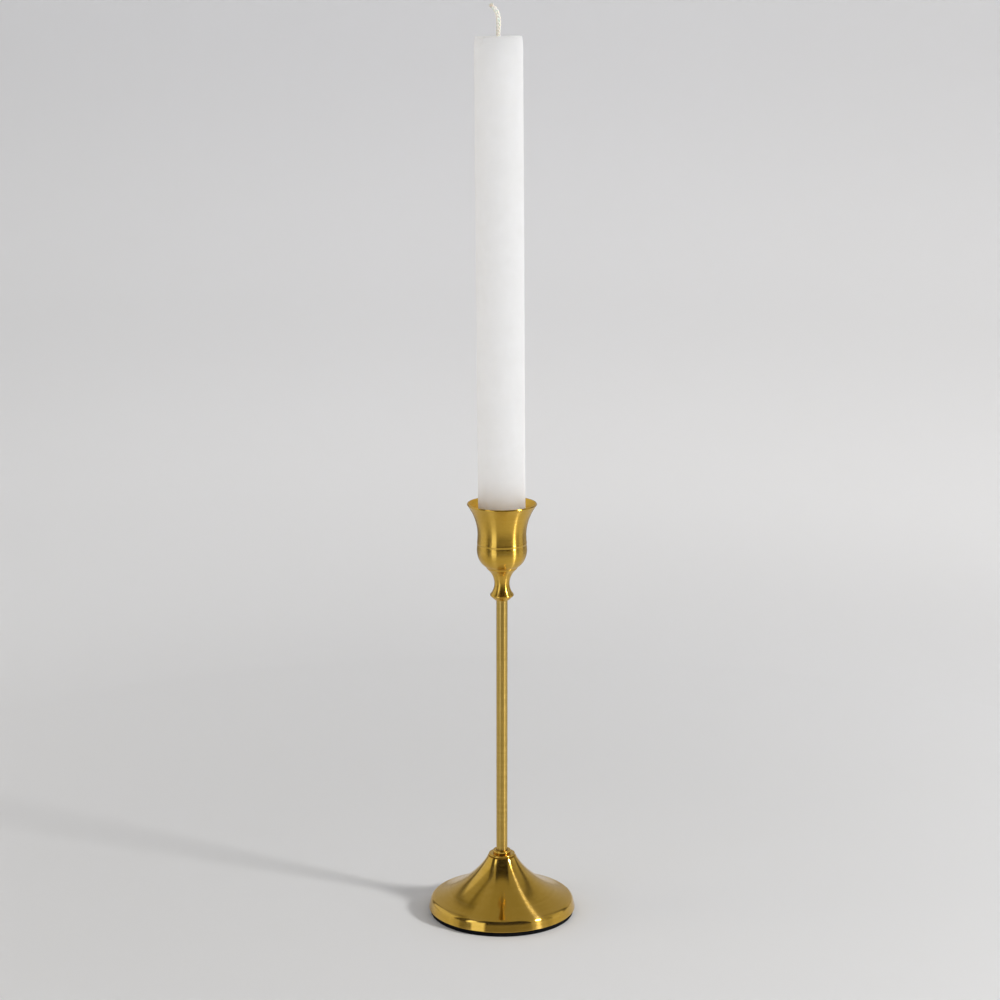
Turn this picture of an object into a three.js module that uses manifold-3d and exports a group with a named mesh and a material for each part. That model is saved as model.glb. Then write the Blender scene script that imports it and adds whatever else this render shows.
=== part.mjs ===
// A brass candlestick for dinner candles: a weighted trumpet base, a slim tubular stem, a turned knop
// and a flared cup, drawn together by a tie rod. Millimetres, +Z up, the stem on the Z axis and the
// pad's underside on Z = 0.
import * as THREE from 'three';
import { mergeVertices } from 'three/addons/utils/BufferGeometryUtils.js';
import Module from 'manifold-3d';

// Pad under the foot, set in from the foot's edge
const PAD_INSET = 0.9;
const PAD_THICKNESS = 2.3;
const PAD_EDGE = 0.4;

// Spun base, its heights measured from the foot's lower edge
const FOOT_DIAMETER = 70;
const FOOT_HEIGHT = 4.7;
const FOOT_LEAN = 1.05;
const SHOULDER_ROUND = 0.5;
const BASE_HEIGHT = 25.7;
const BASE_WALL = 1;
const SEAT_DIAMETER = 13.2;
const TRUMPET_FOOT_ANGLE = 16;
const TRUMPET_FOOT_PULL = 11.8;
const TRUMPET_SEAT_ANGLE = 64.5;
const TRUMPET_SEAT_PULL = 8.5;

// Cast weight inside the base, hollowed underneath for the nut
const WEIGHT_FIT = 0.6;
const NUT_POCKET_DIAMETER = 13;
const NUT_POCKET_DEPTH = 7;

// Collar between the base and the stem
const COLLAR_FLANGE_DIAMETER = 12.5;
const COLLAR_FLANGE_HEIGHT = 1.2;
const COLLAR_NECK_DIAMETER = 8.4;
const COLLAR_HEIGHT = 2.9;
const COLLAR_ROUND = 0.6;

// Stem tube, its ends let into the collar and the knop
const STEM_DIAMETER = 5.3;
const STEM_WALL = 0.8;
const STEM_SHOWN = 123.1;
const STEM_FIT = 0.1;
const COLLAR_SOCKET = 1.9;
const KNOP_SOCKET = 3;

// Turned knop under the cup, its heights measured from its underside
const KNOP_HEIGHT = 15.6;
const KNOP_FOOT_DIAMETER = 6.8;
const KNOP_LIP_DIAMETER = 11.1;
const KNOP_LIP_HEIGHT = 2;
const KNOP_LIP_THICKNESS = 0.6;
const SCOTIA_DIAMETER = 10;
const SCOTIA_HEIGHT = 3.3;
const KNOP_WAIST_DIAMETER = 7.1;
const KNOP_WAIST_HEIGHT = 7.8;
const KNOP_THROAT_DIAMETER = 13.3;
const KNOP_THROAT_HEIGHT = 14.6;
const KNOP_TOP_DIAMETER = 14.8;
const KNOP_LAND = 0.6;

// Flared cup, its heights measured from its underside
const CUP_HEIGHT = 30.5;
const CUP_WALL = 0.8;
const CUP_FLOOR = 1;
const BOWL_DIAMETER = 23.5;
const BOWL_HEIGHT = 8.5;
const BOWL_DEPTH = 9;
const BOWL_CORE_DIAMETER = 9;
const CUP_WAIST_DIAMETER = 22.76;
const CUP_WAIST_HEIGHT = 15.4;
const CUP_LIP_DIAMETER = 32.6;
const CUP_LIP_EASE = 0.3;
const TURNED_LINE_HEIGHT = 11;
const TURNED_LINE_WIDTH = 1.2;
const TURNED_LINE_DEPTH = 0.35;

// Tie rod, screw, nut and washers
const THREAD_DIAMETER = 3;
const THREAD_FIT = 0.15;
const ROD_CLEARANCE = 0.3;
const ROD_IN_KNOP = 4;
const ROD_PAST_NUT = 1;
const NUT_SIDES = 6;
const NUT_ACROSS_FLATS = 5.5;
const NUT_HEIGHT = 2.4;
const LOCK_WASHER_DIAMETER = 5.6;
const LOCK_WASHER_THICKNESS = 0.8;
const LOCK_WASHER_GAP = 12;
const BASE_WASHER_DIAMETER = 9;
const BASE_WASHER_THICKNESS = 0.8;
const CUP_WASHER_DIAMETER = 8.4;
const CUP_WASHER_THICKNESS = 0.5;
const SCREW_HEAD_DIAMETER = 6;
const SCREW_HEAD_HEIGHT = 1.2;
const SCREW_LENGTH = 8;
const SCREW_SLOT_WIDTH = 0.8;
const SCREW_SLOT_DEPTH = 0.6;

// Dinner candle with a tapered butt, standing a touch out of plumb in the cup
const CANDLE_DIAMETER = 22;
const CANDLE_LENGTH = 240;
const CANDLE_EDGE = 0.7;
const CANDLE_FIT = 0.3;
const BUTT_TAPER = 24;
const BUTT_CHAMFER = 2;
const CANDLE_LEAN = 0.4;

// Cotton wick, its free end as points [sideways, up] from the middle of the candle's top
const WICK_DIAMETER = 2;
const WICK_FIT = 0.3;
const WICK_SIDES = 8;
const WICK_END = [[0, 0], [-0.4, 2.6], [-0.2, 5.6], [-0.1, 8], [-0.6, 10.4], [-1.6, 12.2], [-2.7, 13.2]];
const WICK_STEPS = 10;

// Facets round a turned piece, round a small one, along a curve and round an edge,
// and how near two corners merge
const ROUND_SIDES = 40;
const SMALL_SIDES = 24;
const CURVE_STEPS = 8;
const EDGE_STEPS = 2;
const SAME_POINT = 1e-5;

// Heights of the stack, from the floor up
const footZ = PAD_THICKNESS;
const seatZ = footZ + BASE_HEIGHT;
const seatUndersideZ = seatZ - BASE_WALL;
const collarTopZ = seatZ + COLLAR_HEIGHT;
const stemBottomZ = collarTopZ - COLLAR_SOCKET;
const knopZ = collarTopZ + STEM_SHOWN;
const stemTopZ = knopZ + KNOP_SOCKET;
const cupZ = knopZ + KNOP_HEIGHT;
const cupFloorZ = cupZ + CUP_FLOOR;
const lipZ = cupZ + CUP_HEIGHT;
const throatZ = cupZ + CUP_WAIST_HEIGHT;
const screwSeatZ = cupFloorZ + CUP_WASHER_THICKNESS;
const screwTopZ = screwSeatZ + SCREW_HEAD_HEIGHT;
const buttZ = screwTopZ + CANDLE_FIT;
const candleTopZ = buttZ + CANDLE_LENGTH;
const pocketZ = footZ + NUT_POCKET_DEPTH;
const lockWasherZ = pocketZ - BASE_WASHER_THICKNESS - LOCK_WASHER_THICKNESS;
const nutZ = lockWasherZ - NUT_HEIGHT;

// Radii that more than one piece takes
const threadRadius = THREAD_DIAMETER / 2;
const tappedRadius = threadRadius + THREAD_FIT;
const rodHoleRadius = threadRadius + ROD_CLEARANCE;
const stemRadius = STEM_DIAMETER / 2;
const socketRadius = stemRadius + STEM_FIT;
const wickRadius = WICK_DIAMETER / 2;

const wasm = await Module();
wasm.setup();

// Outlines are lists of points with x the radius and y the height
const at = (radius, height) => new THREE.Vector2(radius, height);
const heading = (degrees) => at(1, 0).rotateAround(at(0, 0), THREE.MathUtils.degToRad(degrees));

/** A turned piece: a closed outline, up its outer side and down its inner side, swept round the Z axis. */
function turned(outline, sides = ROUND_SIDES) {
  const onAxis = outline[0].x === 0;
  const closed = onAxis ? outline : [...outline, outline[0].clone()];
  return new THREE.LatheGeometry(closed, sides).rotateX(Math.PI / 2);
}

/** A circular arc that leaves `waist` straight up or down and runs out to `end`. */
function flare(waist, end, steps = CURVE_STEPS) {
  const rise = end.y - waist.y;
  const spread = end.x - waist.x;
  const radius = (rise * rise + spread * spread) / (2 * spread);
  const sweep = Math.asin(rise / radius);
  return Array.from({ length: steps + 1 }, (_, i) => {
    const angle = (sweep * i) / steps;
    return at(waist.x + radius * (1 - Math.cos(angle)), waist.y + radius * Math.sin(angle));
  });
}

/** A rounded corner between two legs that meet at `corner`. */
function rounded(from, corner, to, reach) {
  const start = corner.clone().add(from.clone().sub(corner).setLength(reach));
  const end = corner.clone().add(to.clone().sub(corner).setLength(reach));
  return new THREE.QuadraticBezierCurve(start, corner, end).getPoints(EDGE_STEPS);
}

/** An outline moved sideways by `distance`, to the left of the way it runs. */
function offset(points, distance) {
  return points.map((point, i) => {
    const before = points[Math.max(i - 1, 0)];
    const after = points[Math.min(i + 1, points.length - 1)];
    const along = after.clone().sub(before).normalize();
    return at(point.x - along.y * distance, point.y + along.x * distance);
  });
}

/** The stretch of a rising outline that lies between two heights, cut square at both. */
function between(points, low, high) {
  const crossing = (a, b, height) => a.clone().lerp(b, (height - a.y) / (b.y - a.y));
  const kept = [];
  points.forEach((point, i) => {
    const next = points[i + 1];
    if (point.y >= low && point.y <= high) kept.push(point);
    if (!next) return;
    if (point.y < low && next.y > low) kept.push(crossing(point, next, low));
    if (point.y < high && next.y > high) kept.push(crossing(point, next, high));
  });
  return kept;
}

/** A plain ring of four corners. */
function ring(inner, outer, low, high, sides = SMALL_SIDES) {
  return turned([at(inner, low), at(outer, low), at(outer, high), at(inner, high)], sides);
}

/** A flat shape with its holes, raised from `low` by `height`. */
function raised(shape, low, height) {
  const settings = { depth: height, bevelEnabled: false, curveSegments: SMALL_SIDES / 2 };
  return new THREE.ExtrudeGeometry(shape, settings).translate(0, 0, low);
}

/** A closed tube of one radius through a row of centres. */
function tube(centres, radius, sides) {
  const tangents = centres.map((centre, i) => {
    const before = centres[Math.max(i - 1, 0)];
    const after = centres[Math.min(i + 1, centres.length - 1)];
    return after.clone().sub(before).normalize();
  });
  const positions = [];
  centres.forEach((centre, i) => {
    const depthways = new THREE.Vector3(0, 1, 0);
    const sideways = depthways.clone().cross(tangents[i]).normalize();
    for (let k = 0; k < sides; k += 1) {
      const angle = (2 * Math.PI * k) / sides;
      const point = centre.clone().addScaledVector(sideways, radius * Math.cos(angle));
      positions.push(...point.addScaledVector(depthways, radius * Math.sin(angle)));
    }
  });
  positions.push(...centres[0], ...centres[centres.length - 1]);
  const firstCap = centres.length * sides;
  const triangles = [];
  for (let k = 0; k < sides; k += 1) {
    const next = (k + 1) % sides;
    for (let i = 0; i < centres.length - 1; i += 1) {
      const [a, b] = [i * sides + k, i * sides + next];
      triangles.push(a, b, b + sides, a, b + sides, a + sides);
    }
    const lastRing = (centres.length - 1) * sides;
    triangles.push(firstCap, next, k, firstCap + 1, lastRing + k, lastRing + next);
  }
  const geometry = new THREE.BufferGeometry();
  geometry.setAttribute('position', new THREE.Float32BufferAttribute(positions, 3));
  geometry.setIndex(triangles);
  return geometry;
}

/** A closed geometry as a solid that can be cut. */
function asSolid(geometry) {
  const bare = geometry.clone();
  bare.deleteAttribute('normal');
  bare.deleteAttribute('uv');
  const merged = mergeVertices(bare, SAME_POINT);
  const vertProperties = new Float32Array(merged.attributes.position.array);
  const corners = merged.index.array;
  const triVerts = [];
  for (let i = 0; i < corners.length; i += 3) {
    const [a, b, c] = [corners[i], corners[i + 1], corners[i + 2]];
    if (a !== b && b !== c && c !== a) triVerts.push(a, b, c);
  }
  const mesh = new wasm.Mesh({ numProp: 3, vertProperties, triVerts: new Uint32Array(triVerts) });
  return new wasm.Manifold(mesh);
}

/** One geometry with another cut out of it. */
function cut(geometry, tool) {
  const mesh = asSolid(geometry).subtract(asSolid(tool)).getMesh();
  const result = new THREE.BufferGeometry();
  result.setAttribute('position', new THREE.BufferAttribute(mesh.vertProperties, 3));
  result.setIndex(new THREE.BufferAttribute(mesh.triVerts, 1));
  return result;
}

function basePad() {
  const radius = FOOT_DIAMETER / 2 - PAD_INSET;
  const lowerEdge = rounded(at(0, 0), at(radius, 0), at(radius, PAD_THICKNESS), PAD_EDGE);
  return turned([at(0, 0), ...lowerEdge, at(radius, PAD_THICKNESS), at(0, PAD_THICKNESS)]);
}

/** The base's outer face from the foot's lower edge, over the shoulder and up the trumpet to the seat. */
function trumpetOutline() {
  const foot = at(FOOT_DIAMETER / 2, footZ);
  const shoulder = at(foot.x - FOOT_LEAN, footZ + FOOT_HEIGHT);
  const inward = heading(180 - TRUMPET_FOOT_ANGLE);
  const shoulderPoints = rounded(foot, shoulder, shoulder.clone().add(inward), SHOULDER_ROUND);
  const start = shoulderPoints[shoulderPoints.length - 1];
  const seatEdge = at(SEAT_DIAMETER / 2, seatZ);
  const curve = new THREE.CubicBezierCurve(
    start,
    start.clone().addScaledVector(inward, TRUMPET_FOOT_PULL),
    seatEdge.clone().addScaledVector(heading(-TRUMPET_SEAT_ANGLE), TRUMPET_SEAT_PULL),
    seatEdge,
  );
  return [foot, ...shoulderPoints, ...curve.getPoints(CURVE_STEPS).slice(1)];
}

function baseShell() {
  const outside = trumpetOutline();
  const inside = between(offset(outside, BASE_WALL), footZ, seatUndersideZ);
  const hole = [at(rodHoleRadius, seatZ), at(rodHoleRadius, seatUndersideZ)];
  return turned([...outside, ...hole, ...inside.reverse()]);
}

function ballastWeight() {
  const outside = between(offset(trumpetOutline(), BASE_WALL + WEIGHT_FIT), footZ, seatUndersideZ);
  const pocketRadius = NUT_POCKET_DIAMETER / 2;
  const bore = [at(rodHoleRadius, seatUndersideZ), at(rodHoleRadius, pocketZ)];
  return turned([at(pocketRadius, footZ), ...outside, ...bore, at(pocketRadius, pocketZ)]);
}

function baseWasher() {
  return ring(rodHoleRadius, BASE_WASHER_DIAMETER / 2, pocketZ - BASE_WASHER_THICKNESS, pocketZ);
}

function lockWasher() {
  const gap = THREE.MathUtils.degToRad(LOCK_WASHER_GAP);
  const shape = new THREE.Shape();
  shape.absarc(0, 0, LOCK_WASHER_DIAMETER / 2, gap, 2 * Math.PI - gap, false);
  shape.absarc(0, 0, tappedRadius, 2 * Math.PI - gap, gap, true);
  return raised(shape, lockWasherZ, LOCK_WASHER_THICKNESS);
}

function baseNut() {
  const corner = NUT_ACROSS_FLATS / 2 / Math.cos(Math.PI / NUT_SIDES);
  const turn = 360 / NUT_SIDES;
  const corners = Array.from({ length: NUT_SIDES }, (_, i) => heading(turn * i).multiplyScalar(corner));
  const shape = new THREE.Shape(corners);
  shape.holes.push(new THREE.Path().absarc(0, 0, tappedRadius, 0, 2 * Math.PI, true));
  return raised(shape, nutZ, NUT_HEIGHT);
}

function stemCollar() {
  const flange = COLLAR_FLANGE_DIAMETER / 2;
  const neck = COLLAR_NECK_DIAMETER / 2;
  const flangeZ = seatZ + COLLAR_FLANGE_HEIGHT;
  const flangeEdge = rounded(at(flange, seatZ), at(flange, flangeZ), at(neck, flangeZ), COLLAR_ROUND);
  const neckTop = at(neck, collarTopZ);
  const neckEdge = rounded(at(neck, flangeZ), neckTop, at(socketRadius, collarTopZ), COLLAR_ROUND);
  return turned([
    at(rodHoleRadius, seatZ),
    at(flange, seatZ),
    ...flangeEdge,
    at(neck, flangeZ),
    ...neckEdge,
    at(socketRadius, collarTopZ),
    at(socketRadius, stemBottomZ),
    at(rodHoleRadius, stemBottomZ),
  ]);
}

function stemTube() {
  return ring(stemRadius - STEM_WALL, stemRadius, stemBottomZ, stemTopZ);
}

function tieRod() {
  const bottom = nutZ - ROD_PAST_NUT;
  const top = stemTopZ + ROD_IN_KNOP;
  const outline = [at(0, bottom), at(threadRadius, bottom), at(threadRadius, top), at(0, top)];
  return turned(outline, SMALL_SIDES);
}

function knop() {
  const lip = KNOP_LIP_DIAMETER / 2;
  const lipLowZ = knopZ + KNOP_LIP_HEIGHT;
  const waist = at(KNOP_WAIST_DIAMETER / 2, knopZ + KNOP_WAIST_HEIGHT);
  const top = KNOP_TOP_DIAMETER / 2;
  const scotia = flare(waist, at(SCOTIA_DIAMETER / 2, knopZ + SCOTIA_HEIGHT)).reverse();
  const throat = flare(waist, at(KNOP_THROAT_DIAMETER / 2, knopZ + KNOP_THROAT_HEIGHT)).slice(1);
  return turned([
    at(socketRadius, knopZ),
    at(KNOP_FOOT_DIAMETER / 2, knopZ),
    at(lip, lipLowZ),
    at(lip, lipLowZ + KNOP_LIP_THICKNESS),
    ...scotia,
    ...throat,
    at(top, cupZ - KNOP_LAND),
    at(top, cupZ),
    at(tappedRadius, cupZ),
    at(tappedRadius, stemTopZ),
    at(socketRadius, stemTopZ),
  ]);
}

/** The cup's bowl, from the edge of its flat underside to its widest circle. */
function bowlOutline() {
  const core = BOWL_CORE_DIAMETER / 2;
  const start = -Math.asin(BOWL_HEIGHT / BOWL_DEPTH);
  const width = BOWL_DIAMETER / 2 - core;
  const ellipse = new THREE.EllipseCurve(core, cupZ + BOWL_HEIGHT, width, BOWL_DEPTH, start, 0);
  return ellipse.getPoints(CURVE_STEPS);
}

/** The cup's upper wall, from its waist out to the lip. */
function lipOutline() {
  return flare(at(CUP_WAIST_DIAMETER / 2, throatZ), at(CUP_LIP_DIAMETER / 2, lipZ));
}

/** The line turned into the cup between bowl and waist, as the three points of its notch. */
function turnedLine(bowlTop, waist) {
  const middle = cupZ + TURNED_LINE_HEIGHT;
  const onWall = (height) => bowlTop.clone().lerp(waist, (height - bowlTop.y) / (waist.y - bowlTop.y));
  const root = onWall(middle);
  root.x -= TURNED_LINE_DEPTH;
  return [onWall(middle - TURNED_LINE_WIDTH / 2), root, onWall(middle + TURNED_LINE_WIDTH / 2)];
}

function candleCup() {
  const bowl = bowlOutline();
  const upper = lipOutline();
  const inside = between(offset([...bowl, ...upper], CUP_WALL), cupFloorZ, lipZ);
  const innerLip = inside[inside.length - 1];
  const outerLip = upper[upper.length - 1];
  const outerEase = rounded(upper[upper.length - 2], outerLip, innerLip, CUP_LIP_EASE);
  return turned([
    at(rodHoleRadius, cupZ),
    ...bowl,
    ...turnedLine(bowl[bowl.length - 1], upper[0]),
    ...upper.slice(0, -1),
    ...outerEase,
    ...inside.reverse(),
    at(rodHoleRadius, cupFloorZ),
  ]);
}

function cupWasher() {
  return ring(rodHoleRadius, CUP_WASHER_DIAMETER / 2, cupFloorZ, screwSeatZ);
}

function cupScrew() {
  const head = SCREW_HEAD_DIAMETER / 2;
  const tip = screwSeatZ - SCREW_LENGTH;
  const body = turned([
    at(0, tip),
    at(threadRadius, tip),
    at(threadRadius, screwSeatZ),
    at(head, screwSeatZ),
    at(head, screwTopZ),
    at(0, screwTopZ),
  ], SMALL_SIDES);
  const slot = new THREE.BoxGeometry(2 * SCREW_HEAD_DIAMETER, SCREW_SLOT_WIDTH, 2 * SCREW_SLOT_DEPTH);
  return cut(body, slot.translate(0, 0, screwTopZ));
}

function candle() {
  const radius = CANDLE_DIAMETER / 2;
  const bore = wickRadius + WICK_FIT;
  const taperTop = buttZ + BUTT_TAPER;
  const narrowest = Math.min(CUP_WAIST_DIAMETER, BOWL_DIAMETER) / 2 - CUP_WALL;
  const throat = Math.min(radius, narrowest - CANDLE_FIT);
  const slope = (radius - throat) / (taperTop - throatZ);
  const taperAt = (height) => radius - slope * (taperTop - height);
  const chamferZ = buttZ + BUTT_CHAMFER;
  const upperEdge = rounded(at(radius, taperTop), at(radius, candleTopZ), at(0, candleTopZ), CANDLE_EDGE);
  return turned([
    at(bore, buttZ),
    at(taperAt(buttZ) - BUTT_CHAMFER, buttZ),
    at(taperAt(chamferZ), chamferZ),
    at(radius, taperTop),
    ...upperEdge,
    at(bore, candleTopZ),
  ]);
}

function wick() {
  const freeEnd = WICK_END.map(([sideways, up]) => new THREE.Vector3(sideways, 0, candleTopZ + up));
  const bend = new THREE.CatmullRomCurve3(freeEnd).getPoints(WICK_STEPS);
  return tube([new THREE.Vector3(0, 0, buttZ), ...bend], wickRadius, WICK_SIDES);
}

const brass = { color: 0xb8923e, roughness: 0.28, metalness: 1 };
const stemBrass = { color: 0xb39a4f, roughness: 0.34, metalness: 1 };
const castIron = { color: 0x3d3c3a, roughness: 0.8, metalness: 1 };
const zincSteel = { color: 0xb4b6b8, roughness: 0.4, metalness: 1 };
const blackFoam = { color: 0x15161a, roughness: 0.9, metalness: 0 };
const wax = { color: 0xe6e3da, roughness: 0.55, metalness: 0 };
const cotton = { color: 0xe9dfca, roughness: 0.95, metalness: 0 };

function piece(name, geometry, finish) {
  const mesh = new THREE.Mesh(geometry, new THREE.MeshStandardMaterial(finish));
  mesh.name = name;
  return mesh;
}

const candlestick = new THREE.Group();
candlestick.add(
  piece('base_pad', basePad(), blackFoam),
  piece('base_shell', baseShell(), brass),
  piece('ballast_weight', ballastWeight(), castIron),
  piece('base_washer', baseWasher(), zincSteel),
  piece('lock_washer', lockWasher(), zincSteel),
  piece('base_nut', baseNut(), zincSteel),
  piece('stem_collar', stemCollar(), brass),
  piece('stem_tube', stemTube(), stemBrass),
  piece('tie_rod', tieRod(), zincSteel),
  piece('knop', knop(), brass),
  piece('candle_cup', candleCup(), brass),
  piece('cup_washer', cupWasher(), zincSteel),
  piece('cup_screw', cupScrew(), zincSteel),
);

// The candle and its wick lean together about the middle of the cup's throat
const leaning = new THREE.Group();
leaning.position.z = throatZ;
leaning.rotation.y = -THREE.MathUtils.degToRad(CANDLE_LEAN);
for (const mesh of [piece('candle', candle(), wax), piece('wick', wick(), cotton)]) {
  mesh.position.z = -throatZ;
  leaning.add(mesh);
}
candlestick.add(leaning);

export default candlestick;
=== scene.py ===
# %% [markdown]
# # A brass candlestick with a dinner candle
#
# The stick is a row of turned brass pieces drawn together by a hidden rod: a trumpet base on a foam
# pad, a small collar, a slim tube, a knop and a flared cup. A white candle stands in the cup.
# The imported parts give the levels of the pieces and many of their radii. Each piece is made again here
# as a smooth and finished surface in the same frame, so nothing needs fitting afterwards.

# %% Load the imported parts
import math
from collections import namedtuple

import bpy
from mathutils import Matrix, Vector


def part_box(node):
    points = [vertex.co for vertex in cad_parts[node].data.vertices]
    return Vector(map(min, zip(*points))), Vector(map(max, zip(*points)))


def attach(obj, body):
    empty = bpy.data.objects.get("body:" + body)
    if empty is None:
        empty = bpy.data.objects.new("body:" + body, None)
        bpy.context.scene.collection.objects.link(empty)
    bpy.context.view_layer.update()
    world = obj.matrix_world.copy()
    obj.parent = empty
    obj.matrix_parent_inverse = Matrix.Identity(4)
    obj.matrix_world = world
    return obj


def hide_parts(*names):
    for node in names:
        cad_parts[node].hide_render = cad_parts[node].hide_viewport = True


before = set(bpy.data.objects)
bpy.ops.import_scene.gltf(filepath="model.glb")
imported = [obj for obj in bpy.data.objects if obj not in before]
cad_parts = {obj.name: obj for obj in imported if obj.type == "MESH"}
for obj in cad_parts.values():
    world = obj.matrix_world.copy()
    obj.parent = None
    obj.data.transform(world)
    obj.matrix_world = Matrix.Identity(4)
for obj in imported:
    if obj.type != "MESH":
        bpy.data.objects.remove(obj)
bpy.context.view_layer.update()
print("parts:", ", ".join(sorted(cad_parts)))

# %% Millimetres, and what the frame says of a piece
MM = 0.001
Span = namedtuple("Span", "low high radius")


def span(node):
    """The lowest and highest level of an upright turned part and its largest radius, in millimetres."""
    low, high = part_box(node)
    return Span(low.z / MM, high.z / MM, high.x / MM)


for name in ("base_shell", "stem_tube", "candle_cup"):
    print(name, "from %.1f to %.1f mm, radius %.2f mm" % span(name))

# %% [markdown]
# ## The camera
#
# A long lens a little over a metre away looks slightly down on the stick. The height, the dip and the
# lens were worked out together from the ellipses of the base, the lip and the candle's top: only one
# camera draws all three as flat as the picture does.

# %% Camera
LENS_MM = 87.99
SENSOR_MM = 36
CAMERA_PLACE = Vector((-0.00091, -1.10854, 0.43904))
CAMERA_DIP = math.radians(12.091)

camera_data = bpy.data.cameras.new("camera")
camera_data.lens = LENS_MM
camera_data.sensor_width = SENSOR_MM
camera = bpy.data.objects.new("camera", camera_data)
camera.location = CAMERA_PLACE
camera.rotation_euler = (math.pi / 2 - CAMERA_DIP, 0, 0)
bpy.context.scene.collection.objects.link(camera)
bpy.context.scene.camera = camera
bpy.context.scene.view_settings.view_transform = "Standard"
print("camera", round(CAMERA_PLACE.length, 3), "m from the foot of the stick")

# %% [markdown]
# ## Helpers for node trees
#
# Materials, the studio's light and the geometry trees are all built from nodes. A few small helpers
# keep that readable: the first adds a node with its settings and its inputs, and the others are
# shorthands for arithmetic, for a soft step from 0 to 1, for mixing and for places.


# %% Node helpers
def add(tree, kind, inputs=None, **settings):
    """One node. An input that is given a socket is linked to it, and any other value is set."""
    node = tree.nodes.new(kind)
    for name, value in settings.items():
        setattr(node, name, value)
    for name, value in (inputs or {}).items():
        if isinstance(value, bpy.types.NodeSocket):
            tree.links.new(value, node.inputs[name])
        else:
            node.inputs[name].default_value = value
    return node


def sums(tree, operation, *values):
    """The result of one arithmetic step."""
    return add(tree, "ShaderNodeMath", dict(enumerate(values)), operation=operation).outputs[0]


def step(tree, value, start, end):
    """0 at start and 1 at end, with a soft rise between them."""
    edges = {"Value": value, "From Min": start, "From Max": end}
    return add(tree, "ShaderNodeMapRange", edges, interpolation_type="SMOOTHSTEP").outputs[0]


def spread(tree, value, low, high):
    """A value from 0 to 1, spread from low to high."""
    edges = {"Value": value, "To Min": low, "To Max": high}
    return add(tree, "ShaderNodeMapRange", edges).outputs[0]


def mix(tree, factor, a, b):
    """A number between a and b."""
    return add(tree, "ShaderNodeMix", {0: factor, 2: a, 3: b}).outputs[0]


def mix_colour(tree, factor, a, b):
    """A colour between a and b."""
    return add(tree, "ShaderNodeMix", {0: factor, 6: a, 7: b}, data_type="RGBA").outputs[2]


print("helpers for numbers and colours ready")


# %% Vector and place helpers
def vectors(tree, operation, *values):
    """The result of one step of arithmetic with vectors."""
    return add(tree, "ShaderNodeVectorMath", dict(enumerate(values)), operation=operation).outputs[0]


def scaled(tree, vector, amount):
    """A vector times a number."""
    return add(tree, "ShaderNodeVectorMath", {0: vector, "Scale": amount}, operation="SCALE").outputs[0]


def object_place(tree):
    """Where a spot of the surface lies, in the object's own coordinates."""
    return add(tree, "ShaderNodeTexCoord").outputs["Object"]


def parts_of(tree, vector):
    """The X, Y and Z of a vector."""
    return add(tree, "ShaderNodeSeparateXYZ", {0: vector}).outputs


def from_axis(tree, spot):
    """How far a spot, given by its X, Y and Z, lies from the Z axis."""
    flat = add(tree, "ShaderNodeCombineXYZ", {0: spot["X"], 1: spot["Y"]}).outputs[0]
    return add(tree, "ShaderNodeVectorMath", {0: flat}, operation="LENGTH").outputs["Value"]


print("helpers for vectors and places ready")

# %% [markdown]
# ## The studio
#
# Polished metal shows its surroundings, so the studio is part of the finish. Grey walls stand all
# round under a darker ceiling, with narrow dark gaps between them. The side behind the camera is
# black, and a white panel leans on the left. All of it is drawn in the world's shader by direction, in
# degrees to the right of the camera and above the floor, for light and for reflections. Walls and panels
# could stand there as objects, but a list of directions is quicker to change and never gets into the
# picture. Dark things are browner than bright ones, as a shaded room is warmer than daylight. The camera
# itself sees only the plain grey of the backdrop.

# %% Walls, gaps and panels
WALL = 0.47
CEILING = 0.36
WALL_FADE = 15
WALL_TOP = 57

Patch = namedtuple("Patch", "what left right low high level")
STUDIO = [
    Patch("far floor on the left", -181, -116, -90, 4, 0.37),
    Patch("far floor on the right", 120, 181, -90, 4, 0.41),
    Patch("bright floor on the left", -116, -80, -90, 4, 0.74),
    Patch("bright wall on the left", -140, -80, 4, 38, 0.74),
    Patch("bright wall on the right", 86, 114, -90, 20, 0.66),
    Patch("black behind the camera", -44, 47, 6, 66, 0.012),
    Patch("dark floor under the camera", -41, 47, -90, 10, 0.20),
    Patch("gap over the left wall", -144, -80, 53, 58, 0.20),
    Patch("gap beside the left wall", -81, -58, 8, 58, 0.08),
    Patch("gap beside the left floor", -69, -47, -90, 8, 0.07),
    Patch("gap at the far left", -148, -139, -90, 60, 0.13),
    Patch("gap beside the right wall", 74, 86, -90, 58, 0.33),
    Patch("gap beside the far right floor", 113, 128, -90, 4, 0.30),
    Patch("gap at the far right", 114, 127, 4, 60, 0.11),
    Patch("top of the white panel", -58, -44, 10, 38, 1.9),
    Patch("foot of the white panel", -48, -26, -90, -4, 2.0),
    Patch("middle of the white panel", -48, -27, -4, 26, 1.3),
]
print("studio:", ", ".join(patch.what for patch in STUDIO))

# %% World
EDGE = 2.5
GREEN_RISE = 0.06
BLUE_RISE = 0.30
BACKDROP_COLOUR = (0.66, 0.66, 0.665, 1)


def inside(tree, angle, low, high):
    """1 where an angle in degrees lies between low and high, 0 outside, with soft edges."""
    above = step(tree, angle, low - EDGE, low + EDGE)
    return sums(tree, "MULTIPLY", above, step(tree, angle, high + EDGE, high - EDGE))


world = bpy.data.worlds.new("studio")
bpy.context.scene.world = world
world.use_nodes = True
sky = world.node_tree
sky.nodes.clear()
direction = parts_of(sky, add(sky, "ShaderNodeTexCoord").outputs["Generated"])
forward = sums(sky, "MULTIPLY", direction["Y"], -1.0)
turn = sums(sky, "DEGREES", sums(sky, "ARCTAN2", direction["X"], forward))
rise = sums(sky, "DEGREES", sums(sky, "ARCSINE", direction["Z"]))

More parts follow.
